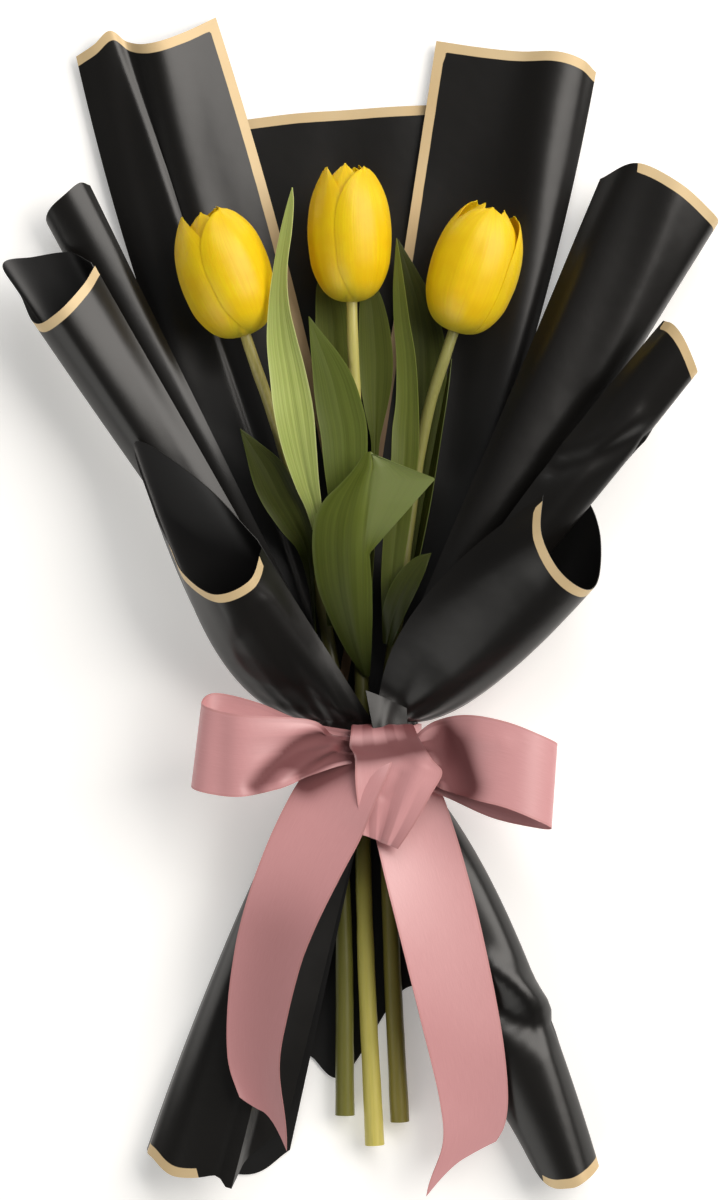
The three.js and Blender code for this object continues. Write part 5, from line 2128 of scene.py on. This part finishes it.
BOW = (
    RibbonPiece(
        "ribbon_tail_left",
        (
            (2, -2, 38, 12, -8, 4), (-0.5, -6.5, 40.6, 14.2, -14, 12),
            (-5, -13, 41.6, 16.4, -20, 17), (-10.5, -23, 41.4, 17.6, -26, 15),
            (-16, -34, 40, 18.4, -30, 11), (-24, -50, 38.8, 18.2, -25, 13),
            (-31.8, -68, 38, 17.6, -20, 18), (-37, -82, 37.2, 16.8, -17, 20),
            (-41, -95.7, 36.2, 15.8, -14, 20), (-45.2, -118, 35, 14.3, -8, 20),
            (-47.2, -140, 34, 12, 0, 17), (-44, -163, 33, 10.4, -24, 8),
        ),
        170, "hung", gather_depth=0.0, crown=1.6, slant=(-2, 13),
        hollows=(
            Crease(((-24, -16), (-12, -10), (0, -4)), 8.0, -5.0, 30),
            Crease(((-40, -88), (-48, -135), (-45, -168)), 24, -1.4, 10),
        ),
    ),
    RibbonPiece(
        "ribbon_tail_right",
        (
            (12, -9, 31.7, 13, 0), (18, -24, 33.4, 16.6, 6, -2), (23.5, -42, 35.5, 17.5, 9, -8),
            (28, -60, 36.4, 18.5, 12, -16), (33, -80, 35.6, 18.9, 13, -19),
            (38, -101, 33.5, 18.5, 12, -18), (42.3, -120, 31, 17.8, 9, -15),
            (46.5, -140, 28, 16.5, 6, -8), (49.2, -158, 25, 15.2, 6, -6),
            (49.4, -172, 22.8, 14.2, 14, -6), (45, -185, 21, 16, 30, -4),
        ),
        190, "hung", gather_depth=0.0, crown=1.4, slant=(9, 0),
    ),
    RibbonPiece(
        "ribbon_loop_left",
        (
            (6, -4, 38.5, 6, 90), (-8, -4, 41, 6.6, 92), (-21, -3, 46, 11.8, 90),
            (-36, -5.2, 51, 15.8, 87), (-52, -6.5, 54, 17.8, 86), (-66, -4.5, 53, 18.3, 84),
            (-72.3, -1.5, 47, 18.5, 83), (-66, 2.5, 41, 18.5, 84), (-46, 0, 39.5, 16.6, 88),
            (-24, -5, 37.5, 13, 90), (4, -6, 36, 9, 90),
        ),
        175, "folded",
        creases=(
            Crease(((-46, -20), (-36, -9.5), (-25, -2), (-11, 3.6)), 4.2, -3.0, 40),
            Crease(((-36, -18), (-26, -10), (-13, -3)), 2.4, 1.2, 40),
            Crease(((-26, -16), (-16, -9), (-6, -2)), 2.4, -1.8, 38),
            Crease(((-60, 8), (-61, -22)), 5.0, -0.8, 45),
        ),
        hollows=(Crease(((-26, -8), (-15, -5), (-4, -2)), 7.0, -3.2, 37),),
    ),
    RibbonPiece(
        "ribbon_loop_right",
        (
            (12, -4, 38.5, 6, 90), (22, -5, 39.6, 7, 90), (31, -5.5, 40, 13.5, 89),
            (40, -6, 44.4, 17, 88), (50, -7.3, 51.2, 18.4, 87), (63, -10.3, 54.5, 18.5, 86),
            (75, -15, 53.5, 18.5, 86), (84, -19.6, 47, 18.5, 86), (78, -20, 40.5, 18.5, 88),
            (58, -17.5, 38.5, 16.6, 88), (38, -11.5, 37, 14, 90), (14, -6, 36, 9, 90),
        ),
        165, "folded",
        creases=(
            Crease(((33, 4), (39, -8), (44, -20)), 6.5, -3.0, 40),
            Crease(((24, 2), (31, -9), (36, -20)), 2.4, 1.2, 40),
            Crease(((34, 8), (48, 2), (60, 0)), 5.0, 0.8, 44),
        ),
        hollows=(
            Crease(((40, -3), (43, -19)), 9.0, -2.4, 36),
            Crease(((16, 0), (30, -3)), 6.0, -1.6, 36),
        ),
    ),
    RibbonPiece(
        "ribbon_knot",
        (
            (9, 6.6, 31.6, 12, 0), (9, 6.4, 37, 13.5, 0), (10, 1.5, 41.2, 15, -3, 2),
            (12.5, -5.5, 42.6, 18, -6, 1), (15.9, -11, 43.2, 19.4, -8, -2),
            (13.6, -20, 42.9, 17, -11, -3), (11.6, -29, 42.2, 14.2, -14, -2),
            (10, -37, 41.4, 11.2, -18, 1), (8.4, -44.2, 40.6, 8.4, -22, 3),
        ),
        58, "folded", crown=2.6, gathers=3, gather_depth=0.3,
        creases=(
            Crease(((16.5, -15), (13, -20), (10, -24)), 2.4, -0.5, 36),
            Crease(((26, -12), (18.5, -28), (11.5, -43)), 5.5, 2.6, 36),
        ),
        hollows=(
            Crease(((-14, -3), (-2, -5.5), (10, -4.5), (26, -1)), 5.4, -3.8, 32),
            Crease(((-4, 6), (9, 6.6), (24, 5)), 3.0, -2.4, 28),
        ),
    ),
)


# ---- Studio ----


@dataclass
class Studio:
    """A pale floor, soft light and a camera that looks straight down on the bunch."""

    photo_long_side: float = 528.0
    photo_middle: tuple[float, float] = (0.0, 61.6)
    camera_height: float = 2.6
    bunch_middle_height: float = 0.03
    floor_reach: float = 4.0
    floor_gap: float = 0.0002
    floor_glow: float = 0.28
    surroundings: float = 0.1

    def floor(self) -> None:
        """Lay the floor just under the bunch."""
        mesh = bpy.data.meshes.new("studio_floor")
        corners = [
            (x * self.floor_reach, y * self.floor_reach)
            for x, y in ((-1, -1), (1, -1), (1, 1), (-1, 1))
        ]
        mesh.from_pydata([(x, y, -self.floor_gap) for x, y in corners], [], [(0, 1, 2, 3)])
        skin = SimpleSkin("lit_studio_floor", "#f4f3f1", "#f1f0ee", 0.9, 300, 0.01).make()
        glow = skin.node_tree.nodes["Principled BSDF"].inputs
        glow["Emission Color"].default_value = linear("#fdfcfa")
        glow["Emission Strength"].default_value = self.floor_glow
        mesh.materials.append(skin)
        put("studio_floor", mesh)

    def softbox(self, name: str, place: Point, size: float, power: float, tint: str) -> None:
        """Hang a square softbox that faces the bunch.

        Args:
            name: Its name.
            place: Where it hangs, in metres.
            size: The length of its side.
            power: Its power in watts.
            tint: The colour of its light.
        """
        light = bpy.data.lights.new(name, "AREA")
        light.shape = "SQUARE"
        light.size = size
        light.energy = power
        light.color = linear(tint)[:3]
        lamp = put(name, light)
        lamp.location = place
        lamp.rotation_euler = (-Vector(place)).to_track_quat("-Z", "Y").to_euler()

    def camera(self) -> None:
        """Set the camera so that its frame is the photograph's."""
        data = bpy.data.cameras.new("camera")
        data.sensor_width = 36.0
        data.lens = data.sensor_width * self.camera_height / (self.photo_long_side * MM)
        data.clip_start, data.clip_end = 0.1, 20.0
        camera = put("camera", data)
        x, y = (TIE[:2] + np.array(self.photo_middle) * MM).tolist()
        camera.location = (x, y, self.camera_height + self.bunch_middle_height)
        bpy.context.scene.camera = camera

    def build(self) -> None:
        """Set up floor, lights, surroundings and camera."""
        self.floor()
        self.softbox("key_from_right", (1.3, 0.65, 1.45), 1.6, 46.0, "#fffaf4")
        self.softbox("top_from_head", (0.2, 1.6, 1.5), 1.2, 15.0, "#ffffff")
        self.softbox("fill_from_left", (-1.15, -1.45, 1.0), 1.8, 18.0, "#fffdf8")
        world = bpy.data.worlds.new("studio")
        world.use_nodes = True
        sky = world.node_tree.nodes["Background"].inputs
        sky["Color"].default_value = (1, 1, 1, 1)
        sky["Strength"].default_value = self.surroundings
        bpy.context.scene.world = world
        bpy.context.scene.view_settings.view_transform = "Standard"
        self.camera()


def main() -> None:
    """Dress the whole bunch."""
    logging.basicConfig(level=logging.INFO, format="%(name)s %(message)s")
    finishes = Finishes.make()
    PaperWrap().build(finishes.paper)
    Stems().build(finishes)
    Blooms().build(finishes)
    Leaves().build(finishes)
    SatinBow().build(finishes.satin)
    Studio().build()


if __name__ == "__main__":
    main()
